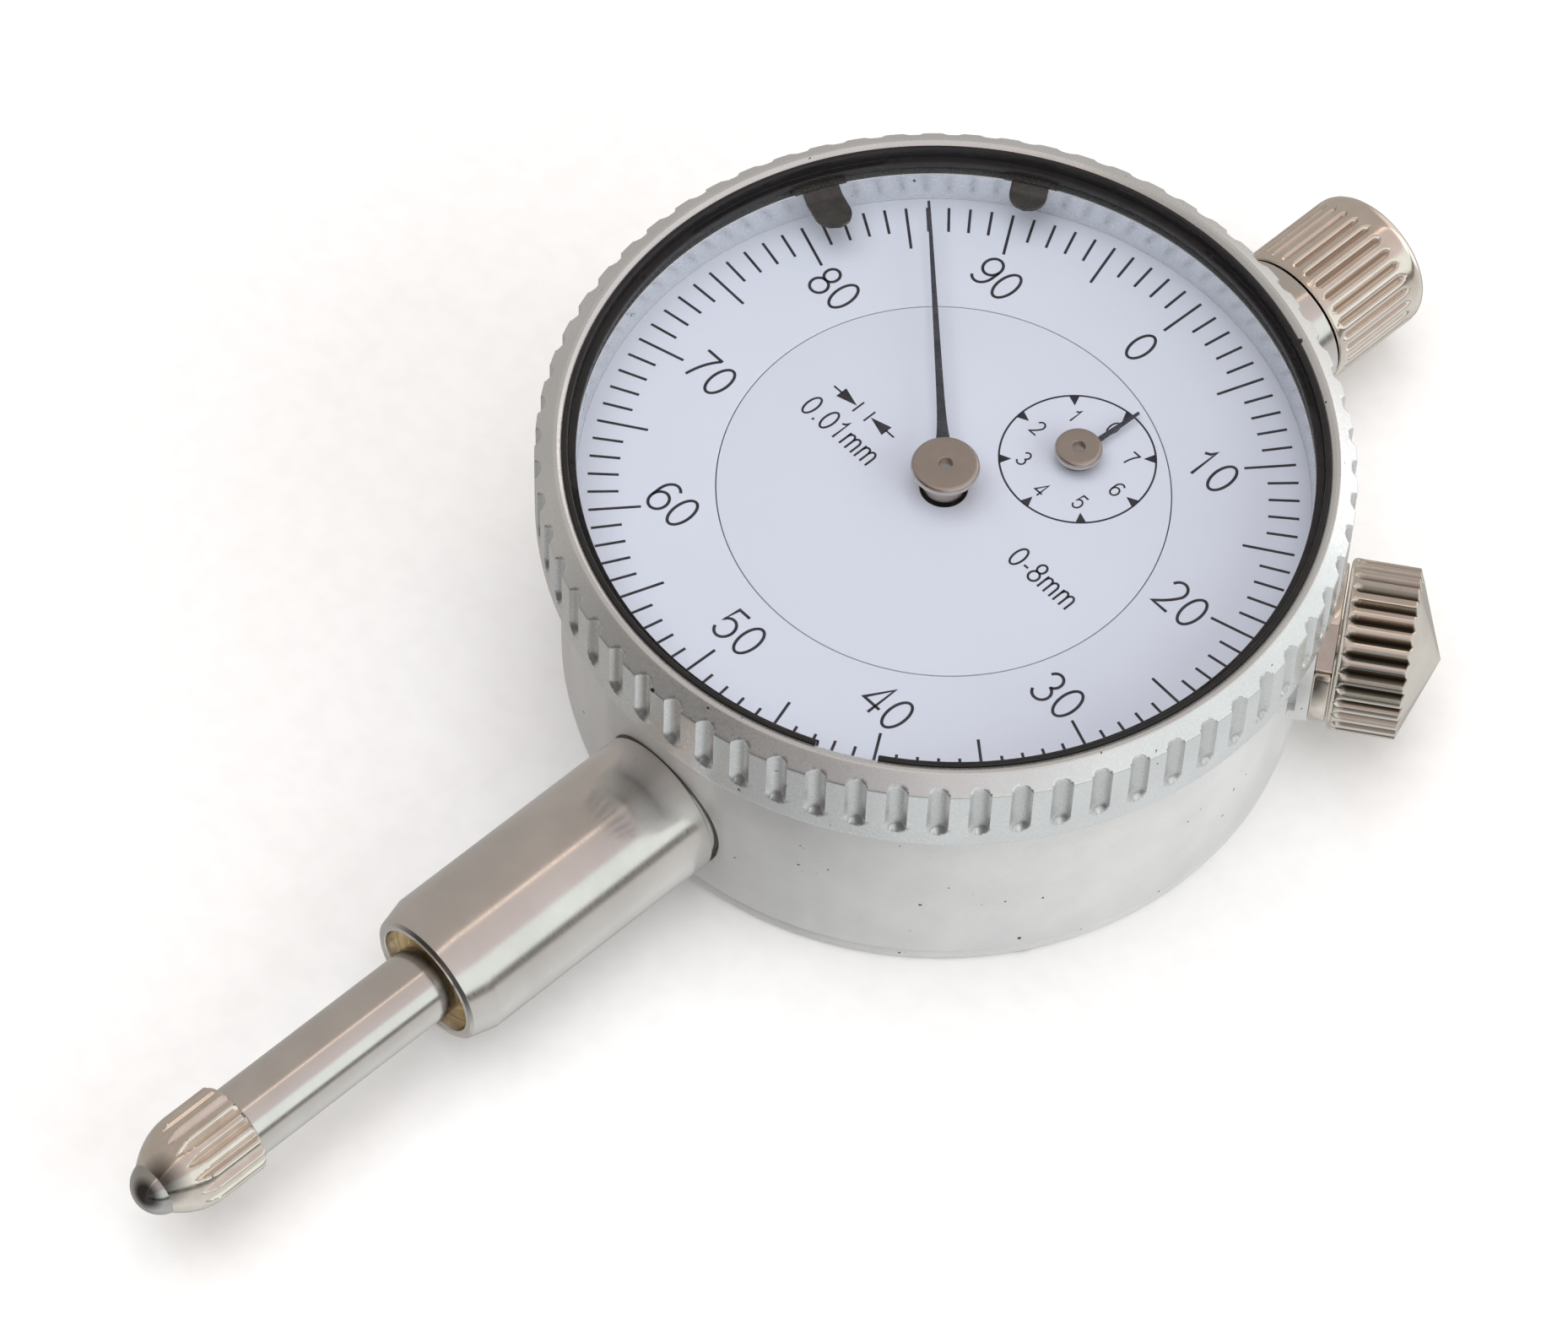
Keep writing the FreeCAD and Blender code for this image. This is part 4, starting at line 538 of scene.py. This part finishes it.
def part_turn(points, start, end, steps):
    """Sweeps a closed outline about Z from one angle to another, with flat ends."""
    verts, faces = [], []
    rows = len(points)
    for column in range(steps + 1):
        angle = start + (end - start) * column / steps
        verts += [Vector((point.x * math.cos(angle), point.x * math.sin(angle), point.y)) for point in points]
    for column in range(steps):
        for row in range(rows):
            above = (row + 1) % rows
            low = column * rows
            faces.append((low + row, low + rows + row, low + rows + above, low + above))
    faces.append(tuple(range(rows)))
    faces.append(tuple(steps * rows + row for row in range(rows)))
    return verts, faces


def prism(outline, low, high):
    """A flat plate of any outline."""
    count = len(outline)
    verts = [Vector((point[0], point[1], low)) for point in outline]
    verts += [Vector((point[0], point[1], high)) for point in outline]
    faces = [tuple(range(count)), tuple(range(count, 2 * count))]
    for index in range(count):
        following = (index + 1) % count
        faces.append((index, following, count + following, count + index))
    return verts, faces


def ribbon(points, width, low, high, closed=False):
    """A flat line of constant width along points, mitred at its bends."""
    points = [Vector(point) for point in points]
    count = len(points)
    left, right = [], []
    for index, here in enumerate(points):
        back = points[index - 1] if closed or index else here
        ahead = points[(index + 1) % count] if closed or index < count - 1 else here
        first = (here - back).normalized() if (here - back).length else (ahead - here).normalized()
        second = (ahead - here).normalized() if (ahead - here).length else first
        along = (first + second).normalized()
        across = Vector((-along.y, along.x)) * width / 2 / max(along.dot(first), 0.5)
        left.append(here + across)
        right.append(here - across)
    verts, faces = [], []
    for height in (low, high):
        verts += [Vector((*point, height)) for point in left + right]
    spans = count if closed else count - 1
    for index in range(spans):
        following = (index + 1) % count
        a, b, c, d = index, following, count + following, count + index
        deep = 2 * count
        faces += [(a, b, c, d), (a + deep, b + deep, c + deep, d + deep)]
        faces += [(a, b, b + deep, a + deep), (d, c, c + deep, d + deep)]
    if not closed:
        for index in (0, count - 1):
            faces.append((index, count + index, 3 * count + index, 2 * count + index))
    return verts, faces


def joined(*shapes):
    verts, faces = [], []
    for more_verts, more_faces in shapes:
        shift = len(verts)
        verts += more_verts
        faces += [tuple(index + shift for index in face) for face in more_faces]
    return verts, faces


def moved(shape, matrix):
    return [matrix @ vert for vert in shape[0]], shape[1]


def make(name, shape, material, body, replaces=(), crease=32, bevel=0.0, hollow=None):
    """A finished piece of the indicator, made from millimetre vertices and faces."""
    mesh = bpy.data.meshes.new(name)
    mesh.from_pydata([vert * MM for vert in shape[0]], [], shape[1])
    if hollow:
        mesh.attributes.new("hollow", "FLOAT", "POINT").data.foreach_set("value", hollow)
    work = bmesh.new()
    work.from_mesh(mesh)
    bmesh.ops.remove_doubles(work, verts=work.verts, dist=1e-7)
    bmesh.ops.recalc_face_normals(work, faces=work.faces)
    work.to_mesh(mesh)
    work.free()
    mesh.shade_smooth()
    mesh.set_sharp_from_angle(angle=math.radians(crease))
    mesh.materials.append(MATERIALS[material])
    piece = bpy.data.objects.new(name, mesh)
    bpy.context.scene.collection.objects.link(piece)
    if bevel:
        edges = piece.modifiers.new("edges", "BEVEL")
        edges.width = bevel * MM
        edges.segments = 2
        edges.limit_method = "ANGLE"
        edges.angle_limit = math.radians(40)
    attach(piece, body)
    if replaces:
        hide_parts(*replaces)
    return piece


# Bezel ---------------------------------------------------------------------

FLUTES = 64
FLUTE_RADIUS = 0.607
FLUTE_CENTRE = 21.257
FLUTE_START = 14.22
BEZEL_WALL = 18.92
DIAL_PLATE = 0.48


def bezel_groove(radius, height, angle):
    """Pulls the outer wall in to the nearest flute: a ball-nosed cut with its lower end rounded."""
    pitch = 2 * math.pi / FLUTES
    off = (angle + pitch / 2) % pitch - pitch / 2
    if radius < 20.0:
        return radius
    side = FLUTE_CENTRE * math.sin(off)
    below = max(FLUTE_START + FLUTE_RADIUS - height, 0.0)
    left = FLUTE_RADIUS ** 2 - side ** 2 - below ** 2
    if left <= 0:
        return radius
    return min(radius, FLUTE_CENTRE * math.cos(off) - math.sqrt(left))


def make_bezel():
    outer = reach("bezel_ring")
    low, high = bottom("bezel_ring"), top("bezel_ring")
    shelf = DIAL - DIAL_PLATE
    outline = rounded([
        (18.56, low, 0.08),
        (outer, low, 0.28),
        (outer, high - 0.8, 0.15),
        (20.05, high, 0.12),
        (19.86, high, 0.05),
        (19.6, high - 0.17, 0.04),
        (19.6, 16.7),
        (BEZEL_WALL, 16.7, 0.05),
        (BEZEL_WALL, shelf),
        (18.56, shelf),
        (18.56, 13.77),
        (18.95, 13.77),
        (18.95, 13.4),
        (18.56, 13.4),
    ])
    points = divided(outline, 0.14, low + 0.2, high)
    half_angle = math.acos((outer ** 2 + FLUTE_CENTRE ** 2 - FLUTE_RADIUS ** 2) / (2 * outer * FLUTE_CENTRE))
    angles = groove_angles(FLUTES, half_angle, inside=6, outside=4)
    shape = lathe(points, angles, bezel_groove)
    # The flute depths drive the painted shade in the flutes.
    depths = hollows(points, angles, bezel_groove)
    make("fluted_bezel", shape, "fluted", "bezel", ["bezel_ring"], crease=28, hollow=depths)


def make_seal():
    """The split black ring over the crystal's edge; its opening is at the lower right."""
    opening, width = 148.8, 9.4
    start = math.radians(90 - opening + width / 2)
    end = start + math.radians(360 - width)
    rim, lip = top("crystal_gasket"), top("crystal") - 0.52
    outline = rounded([
        (19.3, 16.7),
        (19.58, 16.7),
        (19.58, rim, 0.06),
        (19.3, rim, 0.1),
        (19.3, lip),
        (BEZEL_WALL - 0.04, lip, 0.06),
        (BEZEL_WALL - 0.04, 17.3, 0.06),
        (19.3, 17.3),
    ])
    shape = part_turn(outline, start, end, 240)
    make("crystal_seal", shape, "seal", "bezel", ["crystal_gasket"])


def make_crystal():
    low, high = bottom("crystal"), top("crystal")
    edge = reach("crystal") - 0.02
    outline = rounded([(0, low), (edge, low, 0.08), (edge, high, 0.15), (0, high)])
    shape = lathe(outline, even_angles(180))
    make("crystal_window", shape, "glass", "bezel", ["crystal"])


def limit_tab(name, node, body, turn, tip, lean):
    """A bent sheet tab: a foot under the seal's lip, a step down, and a round end over the scale."""
    half, thick, root = 1.0, 0.2, 18.95
    drop, bend = 0.45, 0.9
    narrowest = 0.02
    rows = 16
    verts, faces = [], []
    base = bottom(node) + 0.2
    lengths = [root - (root - tip) * row / rows for row in range(rows + 1)]
    for along in lengths:
        share = min(max((root - along) / bend, 0.0), 1.0)
        sink = drop * share * share * (3 - 2 * share)
        reach_in = max(tip + half - along, 0.0)
        wide = math.sqrt(max(half * half - reach_in * reach_in, narrowest * narrowest))
        shift = lean * (root - along) / (root - tip)
        for side in (-1, -0.6, 0.6, 1):
            verts.append(Vector((shift + side * wide, along, base + thick - sink)))
        for side in (1, 0.6, -0.6, -1):
            verts.append(Vector((shift + side * wide, along, base - sink)))
    for row in range(rows):
        for side in range(8):
            following = (side + 1) % 8
            faces.append((row * 8 + side, row * 8 + following, row * 8 + 8 + following, row * 8 + 8 + side))
    faces += [tuple(range(8)), tuple(rows * 8 + side for side in range(8))]
    section = [(18.97, 16.78), (19.24, 16.78), (19.24, 17.22), (18.6, 17.22), (18.6, 17.05), (18.97, 17.05)]
    spread = 4.4
    foot = part_turn(rounded(section), math.radians(90 - spread), math.radians(90 + spread), 12)
    shape = moved(joined((verts, faces), foot), clockwise(turn))
    make(name, shape, "tab", body, [node], crease=50, bevel=0.04)


# Dial ----------------------------------------------------------------------

INK = 0.012


def arc(centre_x, centre_y, radius_x, radius_y, start, end, steps=20):
    """Points along an ellipse, in degrees."""
    points = []
    for step in range(steps + 1):
        angle = math.radians(start + (end - start) * step / steps)
        points.append((centre_x + radius_x * math.cos(angle), centre_y + radius_y * math.sin(angle)))
    return points


def swing(first, control, last, steps=8):
    """Points along a quadratic curve."""
    points = []
    for step in range(steps + 1):
        share = step / steps
        here = Vector(first).lerp(Vector(control), share)
        there = Vector(control).lerp(Vector(last), share)
        points.append(tuple(here.lerp(there, share)))
    return points


SIX = [arc(0.33, 0.60, 0.28, 0.40, 48, 180) + [(0.05, 0.31)], arc(0.30, 0.31, 0.25, 0.31, 0, 360)]

# Strokes of each figure, on a body one unit high. The last value is its width.
FIGURES = {
    "0": ([arc(0.30, 0.5, 0.245, 0.5, 0, 360, 32)], 0.6),
    "1": ([[(0.13, 0.76), (0.27, 0.84), (0.345, 1.0), (0.345, 0.0)]], 0.6),
    "2": ([
        arc(0.29, 0.72, 0.235, 0.28, 165, -25)
        + swing((0.49, 0.58), (0.36, 0.30), (0.05, 0.0))
        + [(0.55, 0.0)]
    ], 0.6),
    "3": ([arc(0.29, 0.75, 0.21, 0.25, 160, -70), arc(0.29, 0.265, 0.245, 0.265, 80, -160)], 0.6),
    "4": ([[(0.43, 0.0), (0.43, 1.0), (0.03, 0.27), (0.58, 0.27)]], 0.6),
    "5": ([[(0.51, 1.0), (0.15, 1.0), (0.08, 0.49)] + arc(0.29, 0.33, 0.25, 0.33, 140, -155)], 0.6),
    "6": (SIX, 0.6),
    "7": ([[(0.05, 1.0), (0.55, 1.0)] + swing((0.55, 0.97), (0.28, 0.6), (0.21, 0.0))], 0.6),
    "8": ([arc(0.30, 0.76, 0.20, 0.24, 0, 360), arc(0.30, 0.265, 0.245, 0.265, 0, 360)], 0.6),
    "9": ([[(0.6 - x, 1 - y) for x, y in stroke] for stroke in SIX], 0.6),
    "m": ([
        [(0.08, 0.0), (0.08, 0.72)],
        arc(0.25, 0.47, 0.17, 0.24, 175, 0, 10) + [(0.42, 0.0)],
        arc(0.59, 0.47, 0.17, 0.24, 175, 0, 10) + [(0.76, 0.0)],
    ], 0.84),
    ".": ([[(0.16, 0.0), (0.16, 0.11)]], 0.3),
    "-": ([[(0.06, 0.36), (0.30, 0.36)]], 0.36),
}


def lettering(text, height, width, line, centre=None, start=None):
    """Generic figures drawn as raised ink, centred on a point or starting at one."""
    spacing = 0.09
    length = sum(FIGURES[letter][1] for letter in text) + spacing * (len(text) - 1)
    if centre is not None:
        start = (centre[0] - length * width / 2, centre[1] - height / 2)
    shapes = []
    pen = 0.0
    for letter in text:
        strokes, advance = FIGURES[letter]
        for stroke in strokes:
            closed = stroke[0] == stroke[-1] or math.dist(stroke[0], stroke[-1]) < 0.01
            path = stroke[:-1] if closed else stroke
            points = [(start[0] + (pen + x) * width, start[1] + y * height) for x, y in path]
            shapes.append(ribbon(points, line, DIAL, DIAL + INK, closed))
        pen += advance + spacing
    return joined(*shapes)


def on_dial(radius, degrees):
    """A point at a radius and an angle clockwise from the dial's own zero."""
    turn = math.radians(degrees + DIAL_ZERO)
    return Vector((radius * math.sin(turn), radius * math.cos(turn)))


def make_scale():
    """The outer scale: a hundred divisions and the tens, on a ring that turns with the bezel."""
    inside, outside, low = 11.745, 18.915, DIAL - DIAL_PLATE
    outline = rounded([(inside, low), (outside, low), (outside, DIAL), (inside, DIAL, 0.03)])
    plate = lathe(outline, even_angles(240))
    make("scale_plate", plate, "dial", "bezel", ["scale_ring"])
    ticks = []
    for division in range(100):
        inner = 15.6 if division % 5 == 0 else 16.7
        degrees = division * 3.6
        ticks.append(ribbon([on_dial(inner, degrees), on_dial(18.3, degrees)], 0.15, DIAL, DIAL + INK))
    make("scale_divisions", joined(*ticks), "ink", "bezel")
    numbers = []
    for tens in range(10):
        text = str(tens * 10)
        numbers.append(lettering(text, 1.92, 2.02, 0.16, centre=on_dial(13.95, tens * 36)))
    make("scale_numbers", joined(*numbers), "ink", "bezel")


def triangle(tip, base, half):
    """A solid arrowhead from the middle of its base to its tip."""
    along = (Vector(tip) - Vector(base)).normalized()
    across = Vector((-along.y, along.x)) * half
    base = Vector(base)
    return prism([tuple(base - across), tuple(base + across), tuple(tip)], DIAL, DIAL + INK)


def counter_point(radius, degrees):
    """A point on the small dial, anticlockwise from its zero."""
    turn = math.radians(COUNTER_ZERO - degrees)
    return COUNTER + Vector((radius * math.sin(turn), radius * math.cos(turn)))


def make_centre_disc():
    """The fixed middle of the dial, with the small scale and two captions."""
    hole, edge, low = 1.25, 11.69, DIAL - DIAL_PLATE
    outline = rounded([(hole, low), (edge, low), (edge, DIAL, 0.03), (hole, DIAL, 0.03)])
    disc = lathe(outline, even_angles(240))
    make("dial_disc", disc, "dial", "case", ["dial_centre_disc"])
    circle = [counter_point(4.06, 360 * step / 96) for step in range(96)]
    shapes = [ribbon(circle, 0.1, DIAL, DIAL + INK, closed=True)]
    for number in range(8):
        degrees = number * 45
        shapes.append(triangle(counter_point(3.42, degrees), counter_point(4.03, degrees), 0.27))
        shapes.append(lettering(str(number), 0.88, 0.9, 0.095, centre=counter_point(2.76, degrees)))
    make("counter_scale", joined(*shapes), "ink", "case")
    caption = [
        lettering("0.01mm", 1.27, 1.2, 0.12, start=(-8.72, -2.04)),
        lettering("0-8mm", 1.22, 1.2, 0.12, start=(5.36, -0.80)),
    ]
    level = 0.3
    for side, bar in ((-1, -6.68), (1, -5.84)):
        caption.append(ribbon([(bar, level - 0.42), (bar, level + 0.42)], 0.1, DIAL, DIAL + INK))
        caption.append(triangle((bar + side * 0.1, level), (bar + side * 1.28, level), 0.36))
        caption.append(ribbon([(bar + side * 1.2, level), (bar + side * 1.82, level)], 0.1, DIAL, DIAL + INK))
    make("dial_captions", joined(*caption), "ink", "case")


# Hands ---------------------------------------------------------------------


def make_main_hand():
    """A long pointer with a concave root, and its turned hub."""
    tip, root, steps = 17.7, 1.3, 40
    half_at_tip, widening, flare = 0.075, 0.0098, 0.30
    right = []
    for step in range(steps + 1):
        along = root + (tip - root) * step / steps
        half = half_at_tip + (tip - along) * widening + flare * math.exp(root - along)
        right.append((half, along))
    outline = right + [(-half, along) for half, along in reversed(right)]
    low, high = bottom("main_hand"), top("main_hand")
    boss_outline = rounded([(0.7, low), (1.08, low), (1.08, high, 0.04), (0.7, high)])
    boss = lathe(boss_outline, even_angles(64))
    shape = moved(joined(prism(outline, low, high), boss), clockwise(MAIN_TURN))
    make("main_pointer", shape, "hand", "hand_arbor", ["main_hand"], bevel=0.03)
    cap = top("main_hand_hub")
    outline = rounded([
        (0.36, bottom("main_hand_hub")),
        (1.1, bottom("main_hand_hub"), 0.06),
        (1.1, low - 0.02, 0.1),
        (1.4, low + 0.15, 0.1),
        (1.78, cap - 0.42, 0.1),
        (1.78, cap, 0.26),
        (0.36, cap, 0.05),
    ])
    make("main_hub", lathe(outline, even_angles(96)), "hub", "hand_arbor", ["main_hand_hub"])


def make_small_hand():
    low, high = bottom("small_hand"), top("small_hand")
    outline = [(-0.17, 0.6), (0.17, 0.6), (0.13, 2.6), (0.075, 4.2), (-0.075, 4.2), (-0.13, 2.6)]
    pointer = prism(outline, low, high)
    boss = lathe(rounded([(0.52, low), (1.08, low), (1.08, high, 0.03), (0.52, high)]), even_angles(48))
    turn = Matrix.Translation((*COUNTER, 0)) @ clockwise(SMALL_TURN)
    shape = moved(joined(pointer, boss), turn)
    make("small_pointer", shape, "hand", "turn_counter", ["small_hand"], bevel=0.025)
    cap, foot = top("small_hand_hub"), bottom("small_hand_hub")
    outline = rounded([
        (0.33, foot),
        (0.65, foot, 0.04),
        (0.65, low - 0.02),
        (1.1, high + 0.02, 0.05),
        (1.25, high + 0.2, 0.1),
        (1.25, cap, 0.24),
        (0.33, cap, 0.05),
    ])
    shape = moved(lathe(outline, even_angles(80)), Matrix.Translation((*COUNTER, 0)))
    make("small_hub", shape, "hub", "turn_counter", ["small_hand_hub"])


# Stem, spindle and cap -----------------------------------------------------


CAP_GROOVES = 30
TIP_GROOVES = 18
KNOB_GROOVES = 30
RUN_OUT_SLOPE = 1.3
GROOVE_SOFTNESS = 0.03


def knurled(radius_from, count, floor, slope, low, high):
    """A function that cuts V grooves with run-out at both ends into a wall beyond a radius."""
    pitch = 2 * math.pi / count

    def reshape(radius, height, angle):
        if radius < radius_from:
            return radius
        off = (angle + pitch / 2) % pitch - pitch / 2
        run_out = max(low - height, height - high, 0.0) * RUN_OUT_SLOPE
        side = abs(off) * radius
        soft = math.hypot(side, GROOVE_SOFTNESS) - GROOVE_SOFTNESS
        return min(radius, floor + soft * slope + run_out)

    return reshape


def make_stem():
    """The 8 mm mounting stem, polished, with a tapered mouth."""
    end = -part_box("stem")[0].y / MM
    taper = end - 1.6
    outline = rounded([
        (3.0, -15.6),
        (4.0, -15.6),
        (4.0, -18.9, 0.05),
        (3.8, -19.0),
        (3.8, -19.65),
        (4.0, -19.75, 0.08),
        (4.0, -taper, 0.06),
        (3.62, -(end - 0.15), 0.15),
        (3.4, -end, 0.12),
        (3.08, -end, 0.08),
        (3.0, -(end - 0.5)),
    ])
    shape = moved(lathe(outline, even_angles(128)), ALONG_SPINDLE)
    make("mounting_stem", shape, "steel", "case", ["stem"])


def make_dust_cap():
    radius, start, end = 4.04, 26.6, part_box("dust_cap")[1].y / MM
    outline = rounded([
        (3.2, start),
        (radius, start, 0.2),
        (radius, end, 1.0),
        (0.0, end),
        (0.0, end - 1.2),
        (3.2, end - 1.2),
    ])
    knurl_low, knurl_high = start + 0.6, start + 5.15
    points = divided(outline, 0.14, start + 0.15, end - 1.0)
    cut = knurled(3.5, CAP_GROOVES, radius - 0.3, 1.5, knurl_low, knurl_high)
    angles = groove_angles(CAP_GROOVES, 0.2 / radius, inside=4, outside=4)
    shape = moved(lathe(points, angles, cut), ALONG_SPINDLE)
    # The groove depths drive the painted shade in the knurl.
    depths = hollows(points, angles, cut)
    make("dust_cap_shell", shape, "cap", "case", ["dust_cap"], crease=40, hollow=depths)


def make_contact_point():
    """A fluted body whose nose is an ogive; the flutes run out on it in points."""
    radius, thread = 2.5, 1.25
    shoulder, nose, end = 50.8, 2.65, 53.45
    body = [
        (0.0, -43.3),
        (thread, -43.3),
        (thread, -48.2),
        (2.35, -48.2),
        (radius, -48.35),
        (radius, -shoulder),
    ]
    steps, narrowing, fullness = 22, 1.08, 2.1
    for step in range(1, steps + 1):
        share = step / steps
        body.append((radius - narrowing * share ** fullness, -(shoulder + nose * share)))
    points = [Vector(corner) for corner in body + [(0.0, -end)]]
    points = divided(points, 0.12, -53.0, -48.3)
    cut = knurled(1.3, TIP_GROOVES, radius - 0.26, 1.1, -53.3, -48.0)
    angles = groove_angles(TIP_GROOVES, 0.24 / radius, inside=4, outside=5)
    shape = moved(lathe(points, angles, cut), ALONG_SPINDLE)
    make("contact_tip", shape, "nickel", "spindle_group", ["contact_point"], crease=40)


# Bezel clamp ---------------------------------------------------------------


def make_clamp_screw():
    radius, start, end, apex = 4.54, 21.3, 24.9, 26.64
    past_grooves, point = 0.25, 0.03
    outline = rounded([
        (0.0, 16.6),
        (1.25, 16.6, 0.2),
        (1.25, start),
        (radius, start, 0.3),
        (radius, end, 0.06),
        (radius * (1 - past_grooves / (apex - end)), end + past_grooves),
        (radius * point / (apex - end), apex - point),
        (0.0, apex),
    ])
    cut = knurled(3.0, KNOB_GROOVES, radius - 0.42, 1.55, start + 0.5, end + 0.8)
    points = divided(outline, 0.16, start + 0.25, end + 0.8)
    angles = groove_angles(KNOB_GROOVES, 0.27 / radius, inside=6, outside=3)
    shape = moved(lathe(points, angles, cut), ALONG_CLAMP)
    # The groove depths drive the painted shade in the knurl.
    depths = hollows(points, angles, cut)
    replaced = ["clamp_screw"]
    make("clamp_thumbscrew", shape, "knob", "clamp_knob", replaced, crease=40, hollow=depths)


# Finishes of the CAD nodes that stay --------------------------------------

FINISH_OF_SLOT = {
    "case_aluminium": "case",
    "stem_steel": "steel",
    "nickel_plate": "nickel",
    "brass": "brass",
    "plate_brass": "plate",
    "screw_steel": "screw",
    "spring_steel": "spring",
    "hardened_steel": "ball",
    "blued_steel": "hand",
    "dial_white": "dial",
    "black_plastic": "seal",
    "crystal_clear": "glass",
}


ROUNDED_EDGES = {
    "case_body": 0.16,
    "back_cover": 0.1,
    "back_cover_screws": 0.06,
    "clamp_washer": 0.12,
    "cap_sleeve": 0.12,
    "stem_bush": 0.06,
}


def finish_cad_nodes():
    """Gives every CAD node its finish, and the outer ones rounded edges."""
    for name, node in frame["nodes"].items():
        material = MATERIALS[FINISH_OF_SLOT[SLOTS[name]]]
        node.data.materials.clear()
        node.data.materials.append(material)
        if name in ROUNDED_EDGES:
            node.modifiers.new("weld", "WELD").merge_threshold = 1e-6
            edges = node.modifiers.new("edges", "BEVEL")
            edges.width = ROUNDED_EDGES[name] * MM
            edges.segments = 3
            edges.limit_method = "ANGLE"
            edges.angle_limit = math.radians(35)
            edges.harden_normals = True


make_camera()
make_room()
make_lights()
make_floor()
make_bezel()
make_seal()
make_crystal()
limit_tab("limit_tab_a", "limit_marker_a", "marker_a", 293.3, 16.2, 0.25)
limit_tab("limit_tab_b", "limit_marker_b", "marker_b", 327.9, 17.2, 0.0)
make_scale()
make_centre_disc()
make_main_hand()
make_small_hand()
make_stem()
make_dust_cap()
make_contact_point()
make_clamp_screw()
finish_cad_nodes()
bpy.context.scene.view_settings.view_transform = "Standard"
